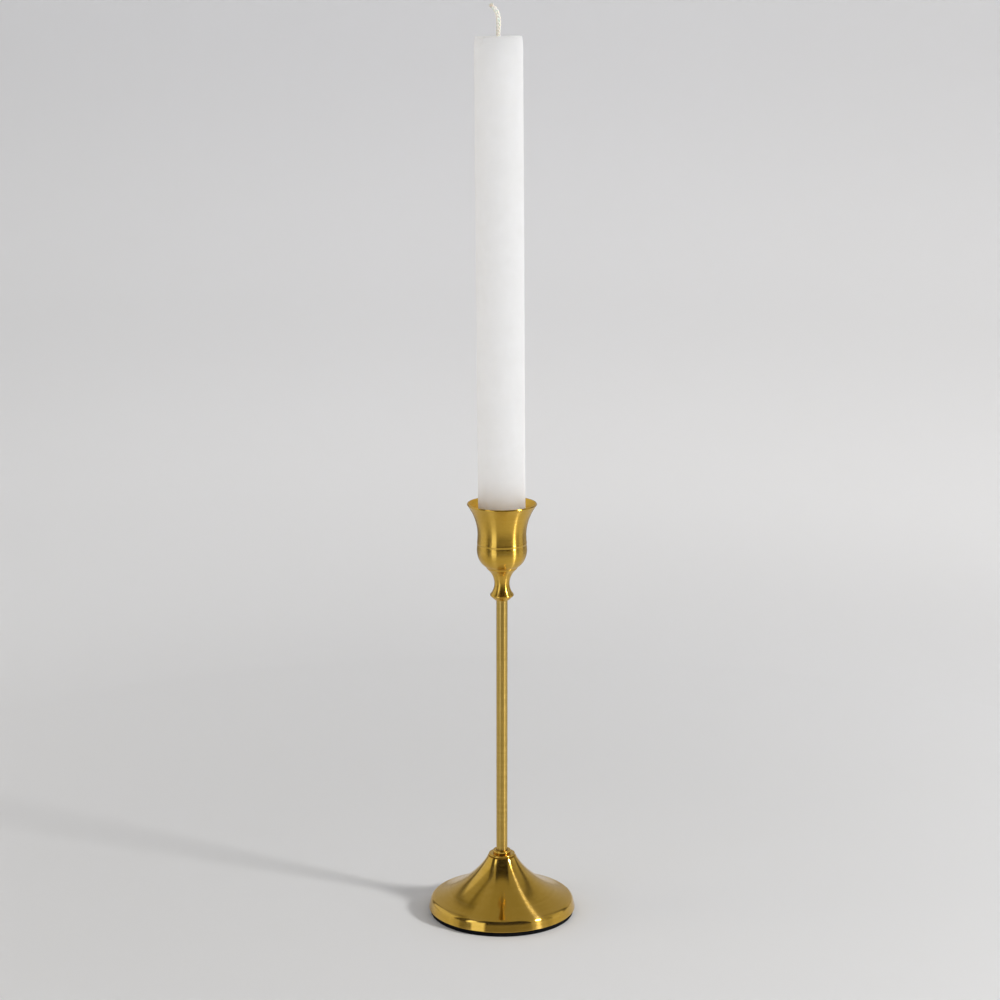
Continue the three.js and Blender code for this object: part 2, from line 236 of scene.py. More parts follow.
level = mix(sky, step(sky, rise, WALL_FADE, WALL_TOP), WALL, CEILING)
for patch in STUDIO:
    sideways = inside(sky, turn, patch.left, patch.right)
    upwards = inside(sky, rise, patch.low, patch.high)
    level = mix(sky, sums(sky, "MULTIPLY", sideways, upwards), level, patch.level)
share = sums(sky, "DIVIDE", level, WALL)
green = sums(sky, "MULTIPLY", level, sums(sky, "POWER", share, GREEN_RISE))
blue = sums(sky, "MULTIPLY", level, sums(sky, "POWER", share, BLUE_RISE))
light = add(sky, "ShaderNodeCombineColor", {"Red": level, "Green": green, "Blue": blue}).outputs[0]
walls = add(sky, "ShaderNodeBackground", {"Color": light})
backdrop_light = add(sky, "ShaderNodeBackground", {"Color": BACKDROP_COLOUR})
seen = add(sky, "ShaderNodeLightPath").outputs["Is Camera Ray"]
chosen = add(sky, "ShaderNodeMixShader", {0: seen, 1: walls.outputs[0], 2: backdrop_light.outputs[0]})
add(sky, "ShaderNodeOutputWorld", {"Surface": chosen.outputs[0]})
print("world:", len(sky.nodes), "nodes, walls", WALL, "and ceiling", CEILING)

# %% [markdown]
# A low lamp on the right throws the long soft shadow. Its angle comes from that shadow: the stem's
# shadow points away from the lamp, and how fast it blurs gives the lamp's width, about eight degrees. A
# weak fill from the left lifts the shade side of the candle. It is hidden from the mirroring brass.

# %% Key lamp and fill
KEY_TURN = math.radians(62.3)
KEY_RISE = math.radians(28)
KEY_DISTANCE = 1.9
KEY_WIDTH = 0.27
KEY_POWER = 25
KEY_COLOUR = (1.0, 0.995, 0.98)

FILL_TURN = math.radians(-85)
FILL_RISE = math.radians(10)
FILL_DISTANCE = 1.5
FILL_WIDTH = 0.6
FILL_POWER = 4.2
FILL_COLOUR = (1.0, 0.90, 0.74)


def lamp(name, turn, rise, distance, width, power, colour):
    """A round lamp that shines on the stick from a direction, unseen by the camera."""
    way = Vector((math.sin(turn), -math.cos(turn), math.tan(rise))).normalized()
    data = bpy.data.lights.new(name, "AREA")
    data.shape = "DISK"
    data.size = width
    data.energy = power
    data.color = colour
    made = bpy.data.objects.new(name, data)
    made.location = way * distance
    made.rotation_euler = way.to_track_quat("Z", "Y").to_euler()
    made.visible_camera = False
    bpy.context.scene.collection.objects.link(made)
    print(name, "lamp at", tuple(round(x, 2) for x in made.location))
    return made


lamp("key", KEY_TURN, KEY_RISE, KEY_DISTANCE, KEY_WIDTH, KEY_POWER, KEY_COLOUR)
fill = lamp("fill", FILL_TURN, FILL_RISE, FILL_DISTANCE, FILL_WIDTH, FILL_POWER, FILL_COLOUR)
fill.visible_glossy = False

# %% [markdown]
# The floor is a pale sheet that sweeps up into a backdrop, like the paper roll of a photo studio. It is
# round, so there is a backdrop whichever side the camera is on. Its wall lets the light and the
# reflections through, and from outside it is clear, so that it never stands before a camera. The floor
# keeps the shadow. It ends under the sweep, so the cup mirrors the floor near the stick and the studio
# beyond its edge. Both carry one tone of painted light and shade: a little paler away from the stick,
# darker again up the wall, and paler on the right there.

# %% Stage helpers
STAGE_SIDES = 128


def new_material(name):
    """An empty node material with its output node."""
    made = bpy.data.materials.new(name)
    made.use_nodes = True
    made.node_tree.nodes.clear()
    return made, made.node_tree, add(made.node_tree, "ShaderNodeOutputMaterial")


def stage_mesh(name, rings):
    """A round sheet through rings (radius, height), in metres, from the middle outwards."""
    verts = []
    for radius, height in rings:
        for k in range(STAGE_SIDES):
            angle = 2 * math.pi * k / STAGE_SIDES
            verts.append((radius * math.cos(angle), radius * math.sin(angle), height))
    faces = []
    for i in range(len(rings) - 1):
        for k in range(STAGE_SIDES):
            near, far = i * STAGE_SIDES, (i + 1) * STAGE_SIDES
            after = (k + 1) % STAGE_SIDES
            faces.append((near + k, far + k, far + after, near + after))
    mesh = bpy.data.meshes.new(name)
    mesh.from_pydata(verts, [], faces)
    mesh.shade_smooth()
    made = bpy.data.objects.new(name, mesh)
    bpy.context.scene.collection.objects.link(made)
    return made


print("stage helpers ready")

# %% Paper
FLOOR_RADIUS = 0.49
# Painted light and shade: darker by the stick, changing up the sweep, paler on the right up the wall.
PAINTED_SHADE_MIDDLE_TONE = 0.762
MIDDLE_RADIUS = 0.15
PAINTED_SWEEP_SHADING = [(0.0, 0.83), (0.06, 0.85), (0.19, 0.767), (0.42, 0.682)]
PAINTED_LIGHT_TO_RIGHT = 0.17


def painted_paper(nodes):
    """Matt paper with painted light and shade: darker by the stick, toned by the height, paler on the
    right up the wall.
    """
    spot = parts_of(nodes, object_place(nodes))
    stages = [(from_axis(nodes, spot), (MIDDLE_RADIUS, PAINTED_SHADE_MIDDLE_TONE), (FLOOR_RADIUS, PAINTED_SWEEP_SHADING[0][1]))]
    stages += [(spot["Z"], *pair) for pair in zip(PAINTED_SWEEP_SHADING, PAINTED_SWEEP_SHADING[1:])]
    tone = PAINTED_SHADE_MIDDLE_TONE
    for value, (low, before), (high, after) in stages:
        change = sums(nodes, "MULTIPLY", step(nodes, value, low, high), after - before)
        tone = sums(nodes, "ADD", tone, change)
    aside = sums(nodes, "MULTIPLY", spot["X"], step(nodes, spot["Z"], 0.0, PAINTED_SWEEP_SHADING[1][0]))
    painted_light = sums(nodes, "ADD", 1.0, sums(nodes, "MULTIPLY", aside, PAINTED_LIGHT_TO_RIGHT))
    tone = sums(nodes, "MULTIPLY", tone, painted_light)
    grey = add(nodes, "ShaderNodeCombineColor", {"Red": tone, "Green": tone, "Blue": tone}).outputs[0]
    return add(nodes, "ShaderNodeBsdfDiffuse", {"Color": grey})


floor_paper, nodes, output = new_material("floor_paper")
nodes.links.new(painted_paper(nodes).outputs[0], output.inputs["Surface"])

sweep_paper, nodes, output = new_material("sweep_paper")
paper = painted_paper(nodes)
clear = add(nodes, "ShaderNodeBsdfTransparent")
behind = add(nodes, "ShaderNodeNewGeometry").outputs["Backfacing"]
sheet = add(nodes, "ShaderNodeMixShader", {0: behind, 1: paper.outputs[0], 2: clear.outputs[0]})
nodes.links.new(sheet.outputs[0], output.inputs["Surface"])
print("paper:", floor_paper.name, sweep_paper.name)

# %% Floor and backdrop
STAGE_HOLE = 0.0005
SWEEP_START = 0.45
SWEEP_REACH = 0.55
SWEEP_HEIGHT = 1.6
SWEEP_LIFT = 0.0002
SWEEP_STEPS = 24

floor = stage_mesh("floor", [(STAGE_HOLE, 0), (FLOOR_RADIUS, 0)])
floor.data.materials.append(floor_paper)
curve = [math.pi / 2 * i / SWEEP_STEPS for i in range(SWEEP_STEPS + 1)]
bend = [
    (SWEEP_START + SWEEP_REACH * math.sin(a), SWEEP_REACH * (1 - math.cos(a)) + SWEEP_LIFT)
    for a in curve
]
sweep = stage_mesh("backdrop", bend + [(SWEEP_START + SWEEP_REACH, SWEEP_HEIGHT)])
sweep.data.materials.append(sweep_paper)
sweep.visible_shadow = False
sweep.visible_glossy = False
print("floor to", FLOOR_RADIUS, "m, backdrop rises from", SWEEP_START, "m")

# %% [markdown]
# ## Shared surface effects
#
# Several finishes share an effect, so each effect is one node group. Turning leaves fine rings round
# the axis, which depend only on the distance from the axis and on the height. Handling leaves cloudy
# smudges. Grain is the small pitted roughness of castings, foam and wax.


# %% Shader group helper
def shader_group(name, inputs, outputs):
    """A shader node group with named number inputs and outputs, and its two end nodes."""
    tree = bpy.data.node_groups.new(name, "ShaderNodeTree")
    for label, value in inputs.items():
        socket = tree.interface.new_socket(label, in_out="INPUT", socket_type="NodeSocketFloat")
        socket.default_value = value
    for label in outputs:
        tree.interface.new_socket(label, in_out="OUTPUT", socket_type="NodeSocketFloat")
    return tree, add(tree, "NodeGroupInput").outputs, add(tree, "NodeGroupOutput").inputs


print("shader group helper ready")


# %% Turning marks
def turning_marks():
    """Rings round the Z axis: Tilt differs from one fine scratch to the next, Lines are faint and wide."""
    tree, given, out = shader_group("Turning marks", {"Fine": 60000, "Wide": 900}, ["Tilt", "Lines"])
    place = object_place(tree)
    spot = parts_of(tree, place)
    track = add(tree, "ShaderNodeCombineXYZ", {0: from_axis(tree, spot), 1: spot["Z"]}).outputs[0]
    groove = {"Vector": vectors(tree, "FLOOR", scaled(tree, track, given["Fine"]))}
    tilt = add(tree, "ShaderNodeTexWhiteNoise", groove, noise_dimensions="2D").outputs["Value"]
    texture = {"Vector": track, "Scale": given["Wide"], "Detail": 3.0, "Roughness": 0.65}
    rings = add(tree, "ShaderNodeTexNoise", texture, noise_dimensions="2D").outputs[0]
    patches = add(tree, "ShaderNodeTexNoise", {"Vector": place, "Scale": 70.0, "Detail": 2.0}).outputs[0]
    swing = sums(tree, "MULTIPLY", sums(tree, "SUBTRACT", rings, 0.5), spread(tree, patches, 0.4, 2.6))
    tree.links.new(tilt, out["Tilt"])
    tree.links.new(sums(tree, "ADD", swing, 0.5), out["Lines"])
    return tree


TURNING = turning_marks()
print("shader group:", TURNING.name)


# %% Handling marks
def handling_marks():
    """Cloudy smudges of fingers and cloths."""
    tree, given, out = shader_group("Handling marks", {"Scale": 60}, ["Smudge"])
    texture = {"Vector": object_place(tree), "Scale": given["Scale"], "Detail": 4.0, "Distortion": 0.6}
    cloud = add(tree, "ShaderNodeTexNoise", texture).outputs[0]
    tree.links.new(step(tree, cloud, 0.42, 0.72), out["Smudge"])
    return tree


HANDLING = handling_marks()
print("shader group:", HANDLING.name)


# %% Grain
def grain():
    """Small pits of one size with a softer unevenness under them."""
    tree, given, out = shader_group("Grain", {"Scale": 1500, "Pits": 0.5}, ["Height", "Mottle"])
    place = object_place(tree)
    pits = {"Vector": place, "Scale": given["Scale"]}
    cells = add(tree, "ShaderNodeTexVoronoi", pits).outputs["Distance"]
    wide = sums(tree, "MULTIPLY", given["Scale"], 0.12)
    mottle = add(tree, "ShaderNodeTexNoise", {"Vector": place, "Scale": wide, "Detail": 5.0}).outputs[0]
    tree.links.new(mix(tree, given["Pits"], mottle, cells), out["Height"])
    tree.links.new(mottle, out["Mottle"])
    return tree


GRAIN = grain()
print("shader group:", GRAIN.name)

# %% [markdown]
# ## Finishes
#
# The brass was brushed on the lathe and then buffed. Fine scratches run round every piece. Their walls
# lean up and down but not sideways, so a lamp that falls on them is drawn out into a thin streak along
# the piece. The lands between the scratches mirror almost sharply. So each brass mixes two surfaces:
# smooth lands, and scratch walls whose lean changes from ring to ring, finer than the eye can part
# them. The base was buffed for longer than the cup, so its lands mirror more sharply, and the tube is
# duller than both. The inside of the cup was left satin from the spinning.


# %% Finish helpers
def spaced(settings):
    """Settings under the names of their sockets, which have spaces."""
    return {name.replace("_", " "): value for name, value in settings.items()}


def principled(nodes, output, **settings):
    """A surface of a finish, with plain values set on its own sockets."""
    shader = add(nodes, "ShaderNodeBsdfPrincipled", spaced(settings))
    if output:
        nodes.links.new(shader.outputs[0], output.inputs["Surface"])
    return shader


def effect(nodes, group, **settings):
    """A shared effect placed in a finish with its own values."""
    return add(nodes, "ShaderNodeGroup", spaced(settings), node_tree=group).outputs


def connect(nodes, shader, **links):
    """Links what varies over the surface to a shader's sockets."""
    for name, source in links.items():
        nodes.links.new(source, shader.inputs[name.replace("_", " ")])


def bump(nodes, height, depth_mm, strength=1.0):
    """A normal that follows a height of so many millimetres."""
    inputs = {"Height": height, "Distance": depth_mm * MM, "Strength": strength}
    return add(nodes, "ShaderNodeBump", inputs).outputs[0]


print("finish helpers ready")


# %% Scratches in the brass
SCRATCH_GLOSS = 0.25
STEEPEST = math.tan(math.radians(45))
QUARTER_TURN = 0.25


def scratches(nodes, tilt, tone, around):
    """The walls of the scratches: half of them look up along the piece and half look down."""
    upright = add(nodes, "ShaderNodeNewGeometry").outputs["Normal"]
    along = vectors(nodes, "CROSS_PRODUCT", upright, around)
    walls = []
    for side in (STEEPEST, -STEEPEST):
        lean = scaled(nodes, along, sums(nodes, "MULTIPLY", tilt, side))
        leaning = vectors(nodes, "NORMALIZE", vectors(nodes, "ADD", upright, lean))
        wall = principled(nodes, None, Metallic=1.0, Roughness=SCRATCH_GLOSS, Anisotropic=1.0,
                          Anisotropic_Rotation=QUARTER_TURN)
        connect(nodes, wall, Base_Color=tone, Tangent=around, Normal=leaning)
        walls.append(wall.outputs[0])
    return add(nodes, "ShaderNodeMixShader", {0: 0.5, 1: walls[0], 2: walls[1]}).outputs[0]


print("scratch walls lean by up to", round(math.degrees(math.atan(STEEPEST))), "degrees")

# %% Brass
BRASS_LIGHT = (0.71, 0.44, 0.07, 1)
BRASS_DARK = (0.64, 0.388, 0.05, 1)
SATIN_LIGHT = (0.88, 0.58, 0.09, 1)
SATIN_DARK = (0.80, 0.51, 0.07, 1)
STEM_LIGHT = (0.62, 0.42, 0.10, 1)
STEM_DARK = (0.52, 0.345, 0.075, 1)
SCRATCH_COLOUR = (0.78, 0.53, 0.20, 1)
LINE_RELIEF = 0.0004


def brass_finish(name, light, dark, gloss, share, brushed=1.0):
    """Brass whose smooth lands have a roughness of gloss, with a share of it taken by scratches."""
    made, nodes, output = new_material(name)
    rings = effect(nodes, TURNING, Fine=60000.0, Wide=850.0)
    smudge = effect(nodes, HANDLING, Scale=55.0)["Smudge"]
    tone = mix_colour(nodes, rings["Lines"], dark, light)
    tone = mix_colour(nodes, sums(nodes, "MULTIPLY", smudge, 0.2), tone, dark)
    rough = sums(nodes, "ADD", gloss, spread(nodes, smudge, 0.0, 0.02))
    rough = sums(nodes, "ADD", rough, spread(nodes, rings["Lines"], -0.01, 0.01))
    around = add(nodes, "ShaderNodeTangent", direction_type="RADIAL", axis="Z").outputs[0]
    land = principled(nodes, None, Metallic=1.0, Anisotropic=brushed, Anisotropic_Rotation=QUARTER_TURN)
    connect(nodes, land, Base_Color=tone, Roughness=rough, Tangent=around)
    connect(nodes, land, Normal=bump(nodes, rings["Lines"], LINE_RELIEF))
    pale = mix_colour(nodes, rings["Lines"], tone, SCRATCH_COLOUR)
    cuts = scratches(nodes, rings["Tilt"], pale, around)
    whole = add(nodes, "ShaderNodeMixShader", {0: share, 1: land.outputs[0], 2: cuts})
    nodes.links.new(whole.outputs[0], output.inputs["Surface"])
    return made


BRUSHED = brass_finish("brushed_brass", BRASS_LIGHT, BRASS_DARK, gloss=0.24, share=0.12)
BUFFED = brass_finish("buffed_brass", BRASS_LIGHT, BRASS_DARK, gloss=0.11, share=0.13)
SATIN = brass_finish("satin_brass", SATIN_LIGHT, SATIN_DARK, gloss=0.50, share=0.05, brushed=0.0)
STEM_BRASS = brass_finish("dull_brass", STEM_LIGHT, STEM_DARK, gloss=0.34, share=0.15, brushed=0.6)
print("brass:", BRUSHED.name, BUFFED.name, SATIN.name, STEM_BRASS.name)

# %% [markdown]
# The candle is white wax, so light enters it and softens the shade side. The pad is black foam rubber,
# the wick is cotton, and the hidden fasteners are zinc plated. The weight inside is a raw casting. All
# their patterns are worked out in space, so no piece needs a picture wrapped round it.


# %% Wax
WAX_CREAM = (0.755, 0.735, 0.69, 1)
WAX_WHITE = (0.825, 0.81, 0.77, 1)
WAX_SMUDGE = (0.76, 0.73, 0.66, 1)
WAX_DEPTHS = (1.0, 0.97, 0.93)


def wax_finish():
    """White wax, faintly mottled and smudged, that lets light deep in."""
    made, nodes, output = new_material("white_wax")
    shader = principled(
        nodes, output, Subsurface_Weight=1.0, Subsurface_Scale=0.25, Subsurface_Radius=WAX_DEPTHS,
        Specular_IOR_Level=0.25,
    )
    fine = effect(nodes, GRAIN, Scale=900.0, Pits=0.15)
    smudge = effect(nodes, HANDLING, Scale=35.0)["Smudge"]
    tone = mix_colour(nodes, fine["Mottle"], WAX_CREAM, WAX_WHITE)
    tone = mix_colour(nodes, sums(nodes, "MULTIPLY", smudge, 0.3), tone, WAX_SMUDGE)
    connect(nodes, shader, Base_Color=tone, Roughness=spread(nodes, fine["Mottle"], 0.62, 0.78))
    connect(nodes, shader, Normal=bump(nodes, fine["Height"], 0.05, 0.5))
    return made


WAX = wax_finish()
print("finish:", WAX.name)

# %% Foam and cotton
FOAM_DARK = (0.0015, 0.0015, 0.002, 1)
FOAM_LIGHT = (0.005, 0.006, 0.008, 1)
COTTON_CREAM = (0.88, 0.79, 0.64, 1)
COTTON_WHITE = (0.98, 0.95, 0.88, 1)


def foam_finish():
    """Black foam rubber with open cells."""
    made, nodes, output = new_material("black_foam")
    shader = principled(nodes, output, Specular_IOR_Level=0.12)
    cells = effect(nodes, GRAIN, Scale=2600.0, Pits=0.8)
    tone = mix_colour(nodes, cells["Mottle"], FOAM_DARK, FOAM_LIGHT)
    connect(nodes, shader, Base_Color=tone, Roughness=spread(nodes, cells["Mottle"], 0.75, 0.95))
    connect(nodes, shader, Normal=bump(nodes, cells["Height"], 0.15))
    return made


def cotton_finish():
    """Cream cotton with fine lighter fibres."""
    made, nodes, output = new_material("plaited_cotton")
    shader = principled(nodes, output, Sheen_Weight=0.3, Subsurface_Weight=0.25, Subsurface_Scale=0.0006)
    fibres = {"Vector": object_place(nodes), "Scale": 4500.0, "Detail": 3.0, "Roughness": 0.7}
    strand = add(nodes, "ShaderNodeTexNoise", fibres).outputs[0]
    tone = mix_colour(nodes, strand, COTTON_CREAM, COTTON_WHITE)
    connect(nodes, shader, Base_Color=tone, Roughness=spread(nodes, strand, 0.8, 1.0))
    connect(nodes, shader, Normal=bump(nodes, strand, 0.03))
    return made


FOAM, COTTON = foam_finish(), cotton_finish()
print("finishes:", FOAM.name, COTTON.name)

# %% Zinc plate and cast iron
ZINC_DARK = (0.42, 0.43, 0.45, 1)
ZINC_LIGHT = (0.66, 0.67, 0.68, 1)
IRON_DARK = (0.05, 0.048, 0.045, 1)
IRON_LIGHT = (0.16, 0.14, 0.12, 1)


def zinc_finish():
    """Zinc plate with its spangle, turned underneath."""
    made, nodes, output = new_material("zinc_steel")
    shader = principled(nodes, output, Metallic=1.0)
    marks = effect(nodes, TURNING, Wide=2400.0)["Lines"]
    spangle = effect(nodes, GRAIN, Scale=1800.0, Pits=0.3)
    tone = mix_colour(nodes, spangle["Mottle"], ZINC_DARK, ZINC_LIGHT)
    connect(nodes, shader, Base_Color=tone, Roughness=spread(nodes, marks, 0.3, 0.5))
    connect(nodes, shader, Normal=bump(nodes, marks, 0.01))
    return made


def iron_finish():
    """Cast iron, as rough as the sand it was poured in."""
    made, nodes, output = new_material("cast_iron")
    shader = principled(nodes, output, Metallic=1.0)
    sand = effect(nodes, GRAIN, Scale=1100.0, Pits=0.6)
    tone = mix_colour(nodes, sand["Mottle"], IRON_DARK, IRON_LIGHT)
    connect(nodes, shader, Base_Color=tone, Roughness=spread(nodes, sand["Mottle"], 0.65, 0.9))
    connect(nodes, shader, Normal=bump(nodes, sand["Height"], 0.3))
    return made


ZINC, IRON = zinc_finish(), iron_finish()
print("finishes:", ZINC.name, IRON.name)

# %% [markdown]
# ## Turned pieces
#
# Nearly everything here comes off a lathe, so one geometry tree makes it all. It takes an outline, a
# chain of points with the radius along X and the height along Z, and bends a flat grid round the axis:
# one row for each outline point, one column for each step of the turn. A screw modifier could turn an
# outline too, but a tree can carry three more rules. The radius can be held back to flats, which makes
# a nut. It can be cut by a helix, which makes a screw thread. And the surface can be a little uneven,
# as wax is.


# %% Tree helpers
def geometry_tree(name, **inputs):
    """A geometry tree with a geometry input, named inputs with their first values, and an output."""
    tree = bpy.data.node_groups.new(name, "GeometryNodeTree")
    tree.interface.new_socket("Geometry", in_out="INPUT", socket_type="NodeSocketGeometry")
    kinds = {int: "NodeSocketInt", float: "NodeSocketFloat"}
    for label, value in spaced(inputs).items():
        kind = kinds[type(value)]
        socket = tree.interface.new_socket(label, in_out="INPUT", socket_type=kind)
        socket.default_value = value
    tree.interface.new_socket("Material", in_out="INPUT", socket_type="NodeSocketMaterial")
    tree.interface.new_socket("Geometry", in_out="OUTPUT", socket_type="NodeSocketGeometry")
    return tree, add(tree, "NodeGroupInput").outputs


def close_tree(tree, geometry, material):
    """The last nodes of a tree: smooth shading, real geometry and the material."""
    smooth = add(tree, "GeometryNodeSetShadeSmooth", {"Geometry": geometry}).outputs[0]
    real = add(tree, "GeometryNodeRealizeInstances", {"Geometry": smooth}).outputs[0]
    dressed = add(tree, "GeometryNodeSetMaterial", {"Geometry": real, "Material": material}).outputs[0]
    add(tree, "NodeGroupOutput", {"Geometry": dressed})


def settle(piece):
    """Turns what a piece's modifiers make into its plain mesh, without the empty slot a tree leaves."""
    graph = bpy.context.evaluated_depsgraph_get()
    plain = bpy.data.meshes.new_from_object(piece.evaluated_get(graph))
    if plain.materials[0] is None:
        plain.materials.pop(index=0)
    piece.modifiers.clear()
    piece.data = plain
    plain.name = piece.name
    return piece


def grow(name, points, edges, tree, **inputs):
    """A piece that a tree makes from points and edges in metres."""
    mesh = bpy.data.meshes.new(name)
    mesh.from_pydata(points, edges, [])
    piece = bpy.data.objects.new(name, mesh)
    bpy.context.scene.collection.objects.link(piece)
    modifier = piece.modifiers.new("shape", "NODES")
    modifier.node_group = tree
    for item in tree.interface.items_tree:
        label = item.name.replace(" ", "_")
        if item.in_out == "INPUT" and label in inputs:
            modifier[item.identifier] = inputs[label]
    settle(piece)
    print(name, len(piece.data.polygons), "faces")
    return piece


# %% Flats, thread and unevenness
THREAD_REACH = 2e-5


def held_to_flats(tree, given, radius, angle):
    """The radius, cut back to the sides of a polygon where flats are asked for."""
    flats = sums(tree, "MAXIMUM", given["Flats"], 1)
    share = sums(tree, "DIVIDE", 2 * math.pi, flats)
    turned_past = sums(tree, "FLOORED_MODULO", angle, share)
    within = sums(tree, "SUBTRACT", turned_past, sums(tree, "DIVIDE", share, 2))
    apothem = sums(tree, "DIVIDE", given["Across Flats"], 2)
    side = sums(tree, "DIVIDE", apothem, sums(tree, "COSINE", within))
    held = sums(tree, "MINIMUM", radius, side)
    return mix(tree, sums(tree, "GREATER_THAN", given["Flats"], 2), radius, held)


def cut_by_thread(tree, given, radius, height, angle):
    """The radius, with a helical groove wherever it is the thread's own radius."""
    climbed = sums(tree, "DIVIDE", height, given["Thread Pitch"])
    turns = sums(tree, "SUBTRACT", climbed, sums(tree, "DIVIDE", angle, 2 * math.pi))
    groove = sums(tree, "PINGPONG", turns, 0.5)
    threaded = sums(tree, "COMPARE", radius, given["Thread Radius"], THREAD_REACH)
    depth = sums(tree, "MULTIPLY", sums(tree, "MULTIPLY", groove, 2), given["Thread Depth"])
    return sums(tree, "SUBTRACT", radius, sums(tree, "MULTIPLY", depth, threaded))


def made_uneven(tree, given, geometry):
    """The surface, moved in and out along its normal by a soft noise."""
    noise = add(tree, "ShaderNodeTexNoise", {"Scale": given["Uneven Scale"], "Detail": 1.0}).outputs[0]
    amount = sums(tree, "MULTIPLY", spread(tree, noise, -1.0, 1.0), given["Unevenness"])
    offset = scaled(tree, add(tree, "GeometryNodeInputNormal").outputs[0], amount)
    return add(tree, "GeometryNodeSetPosition", {"Geometry": geometry, "Offset": offset}).outputs[0]


print("rules for flats, thread and unevenness ready")

# %% The tree for turned pieces
SEAM = 1e-6


def turned_tree():
    """The tree that bends a grid round the axis, along an outline."""
    tree, given = geometry_tree(
        "Turned piece", Steps=192, Flats=0, Across_Flats=0.0, Thread_Radius=0.0,
        Thread_Depth=0.0, Thread_Pitch=0.0005, Unevenness=0.0, Uneven_Scale=120.0,
    )
    count = add(tree, "GeometryNodeAttributeDomainSize", {0: given["Geometry"]}).outputs["Point Count"]
    columns = sums(tree, "ADD", given["Steps"], 1)
    sizes = {"Size X": 1.0, "Size Y": 1.0, "Vertices X": count, "Vertices Y": columns}
    grid = add(tree, "GeometryNodeMeshGrid", sizes)
    uv = {"Geometry": grid.outputs["Mesh"], "Name": "UVMap", "Value": grid.outputs["UV Map"]}
    mapped = add(tree, "GeometryNodeStoreNamedAttribute", uv, data_type="FLOAT2", domain="CORNER")
    position = add(tree, "GeometryNodeInputPosition").outputs[0]
    cell = parts_of(tree, position)
    rows = sums(tree, "SUBTRACT", count, 1)
    row = sums(tree, "ROUND", sums(tree, "MULTIPLY", sums(tree, "ADD", cell["X"], 0.5), rows))
    angle = sums(tree, "MULTIPLY", sums(tree, "ADD", cell["Y"], 0.5), 2 * math.pi)
    taken = {"Geometry": given["Geometry"], "Value": position, "Index": row}
    corner = add(tree, "GeometryNodeSampleIndex", taken, data_type="FLOAT_VECTOR").outputs[0]
    spot = parts_of(tree, corner)
    radius = held_to_flats(tree, given, spot["X"], angle)
    radius = cut_by_thread(tree, given, radius, spot["Z"], angle)
    across = sums(tree, "MULTIPLY", radius, sums(tree, "COSINE", angle))
    along = sums(tree, "MULTIPLY", radius, sums(tree, "SINE", angle))
    place = add(tree, "ShaderNodeCombineXYZ", {0: across, 1: along, 2: spot["Z"]}).outputs[0]
    bending = {"Geometry": mapped.outputs[0], "Position": place}
    bent = add(tree, "GeometryNodeSetPosition", bending).outputs[0]
    closed = add(tree, "GeometryNodeMergeByDistance", {"Geometry": bent, "Distance": SEAM}).outputs[0]
    outward = add(tree, "GeometryNodeFlipFaces", {0: closed}).outputs[0]
    close_tree(tree, made_uneven(tree, given, outward), given["Material"])
    return tree


TURNED = turned_tree()
print("tree:", TURNED.name, "with", len(TURNED.nodes), "nodes")

# %% [markdown]
# ### Outlines
#
# An outline goes up the outside of a piece and down its inside, in millimetres. No real edge is
# perfectly sharp, and a round edge is what catches the light, so a corner can carry a third number:
# how far its rounding reaches along both sides. Curved stretches are an arc or a Bezier curve.

# %% Corners of an outline
ROUND_STEPS = 6
SUPPORT = 1.3


def run(*corners):
    """An outline through corners (radius, height), where (radius, height, reach) is a rounded one."""
    spots = [Vector(corner[:2]) for corner in corners]
    points = []
    for i, corner in enumerate(corners):
        if len(corner) == 2:
            points.append(spots[i])
            continue
        back, on = [(spots[k] - spots[i]).normalized() * corner[2] for k in (i - 1, i + 1)]
        points.append(spots[i] + back * SUPPORT)
        for k in range(ROUND_STEPS + 1):
            share = k / ROUND_STEPS
            points.append(spots[i] + back * (1 - share) ** 2 + on * share ** 2)
        points.append(spots[i] + on * SUPPORT)
    return points


print("a rounded corner has", ROUND_STEPS + 3, "points")

# %% Curved stretches
CURVE_STEPS = 40


def heading(degrees):
    """A step of one millimetre in a direction, in the plane of radius and height."""
    return Vector((math.cos(math.radians(degrees)), math.sin(math.radians(degrees))))


def flare(waist, end, steps=CURVE_STEPS):
    """An arc that leaves a waist straight up or down and runs out to its end."""
    across, up = end[0] - waist[0], end[1] - waist[1]
    radius = (across * across + up * up) / (2 * across)
    whole = math.asin(up / radius)
    angles = [whole * i / steps for i in range(steps + 1)]
    return [
        Vector((waist[0] + radius * (1 - math.cos(a)), waist[1] + radius * math.sin(a)))
        for a in angles
    ]


def bezier(start, pull, push, end, steps=CURVE_STEPS):
    """A cubic curve from its four points."""
    shares = [i / steps for i in range(steps + 1)]
    return [
        start * (1 - t) ** 3 + pull * 3 * t * (1 - t) ** 2 + push * 3 * t * t * (1 - t) + end * t ** 3
        for t in shares
    ]


print("a curved stretch has", CURVE_STEPS + 1, "points")


# %% Walls and turned pieces
def shifted(points, distance):
    """An outline moved sideways, to the left of the way it runs."""
    moved = []
    for i, point in enumerate(points):
        along = (points[min(i + 1, len(points) - 1)] - points[max(i - 1, 0)]).normalized()
        moved.append(point + Vector((-along.y, along.x)) * distance)
    return moved


def between(points, low, high):
    """The part of a rising outline that lies between two heights."""
    return [point for point in points if low < point.y < high]


def turned(name, points, material, steps=192, **sizes):
    """A turned piece from its outline in millimetres."""
    chain = [(i, i + 1) for i in range(len(points) - 1)]
    spots = [(point.x * MM, 0, point.y * MM) for point in points]
    return grow(name, spots, chain, TURNED, Steps=steps, Material=material, **sizes)


print("helpers for walls and turned pieces ready")

# %% [markdown]
# ### Base and pad
#
# The base is spun from sheet: an upright foot band that leans in a little, a rounded shoulder, and a
# trumpet that sweeps up to the flat seat under the stem. The sheet is one millimetre thick, so the
# inside is the same curve, moved in by the wall. The foam pad is glued under the foot and shows as a thin
# black line.

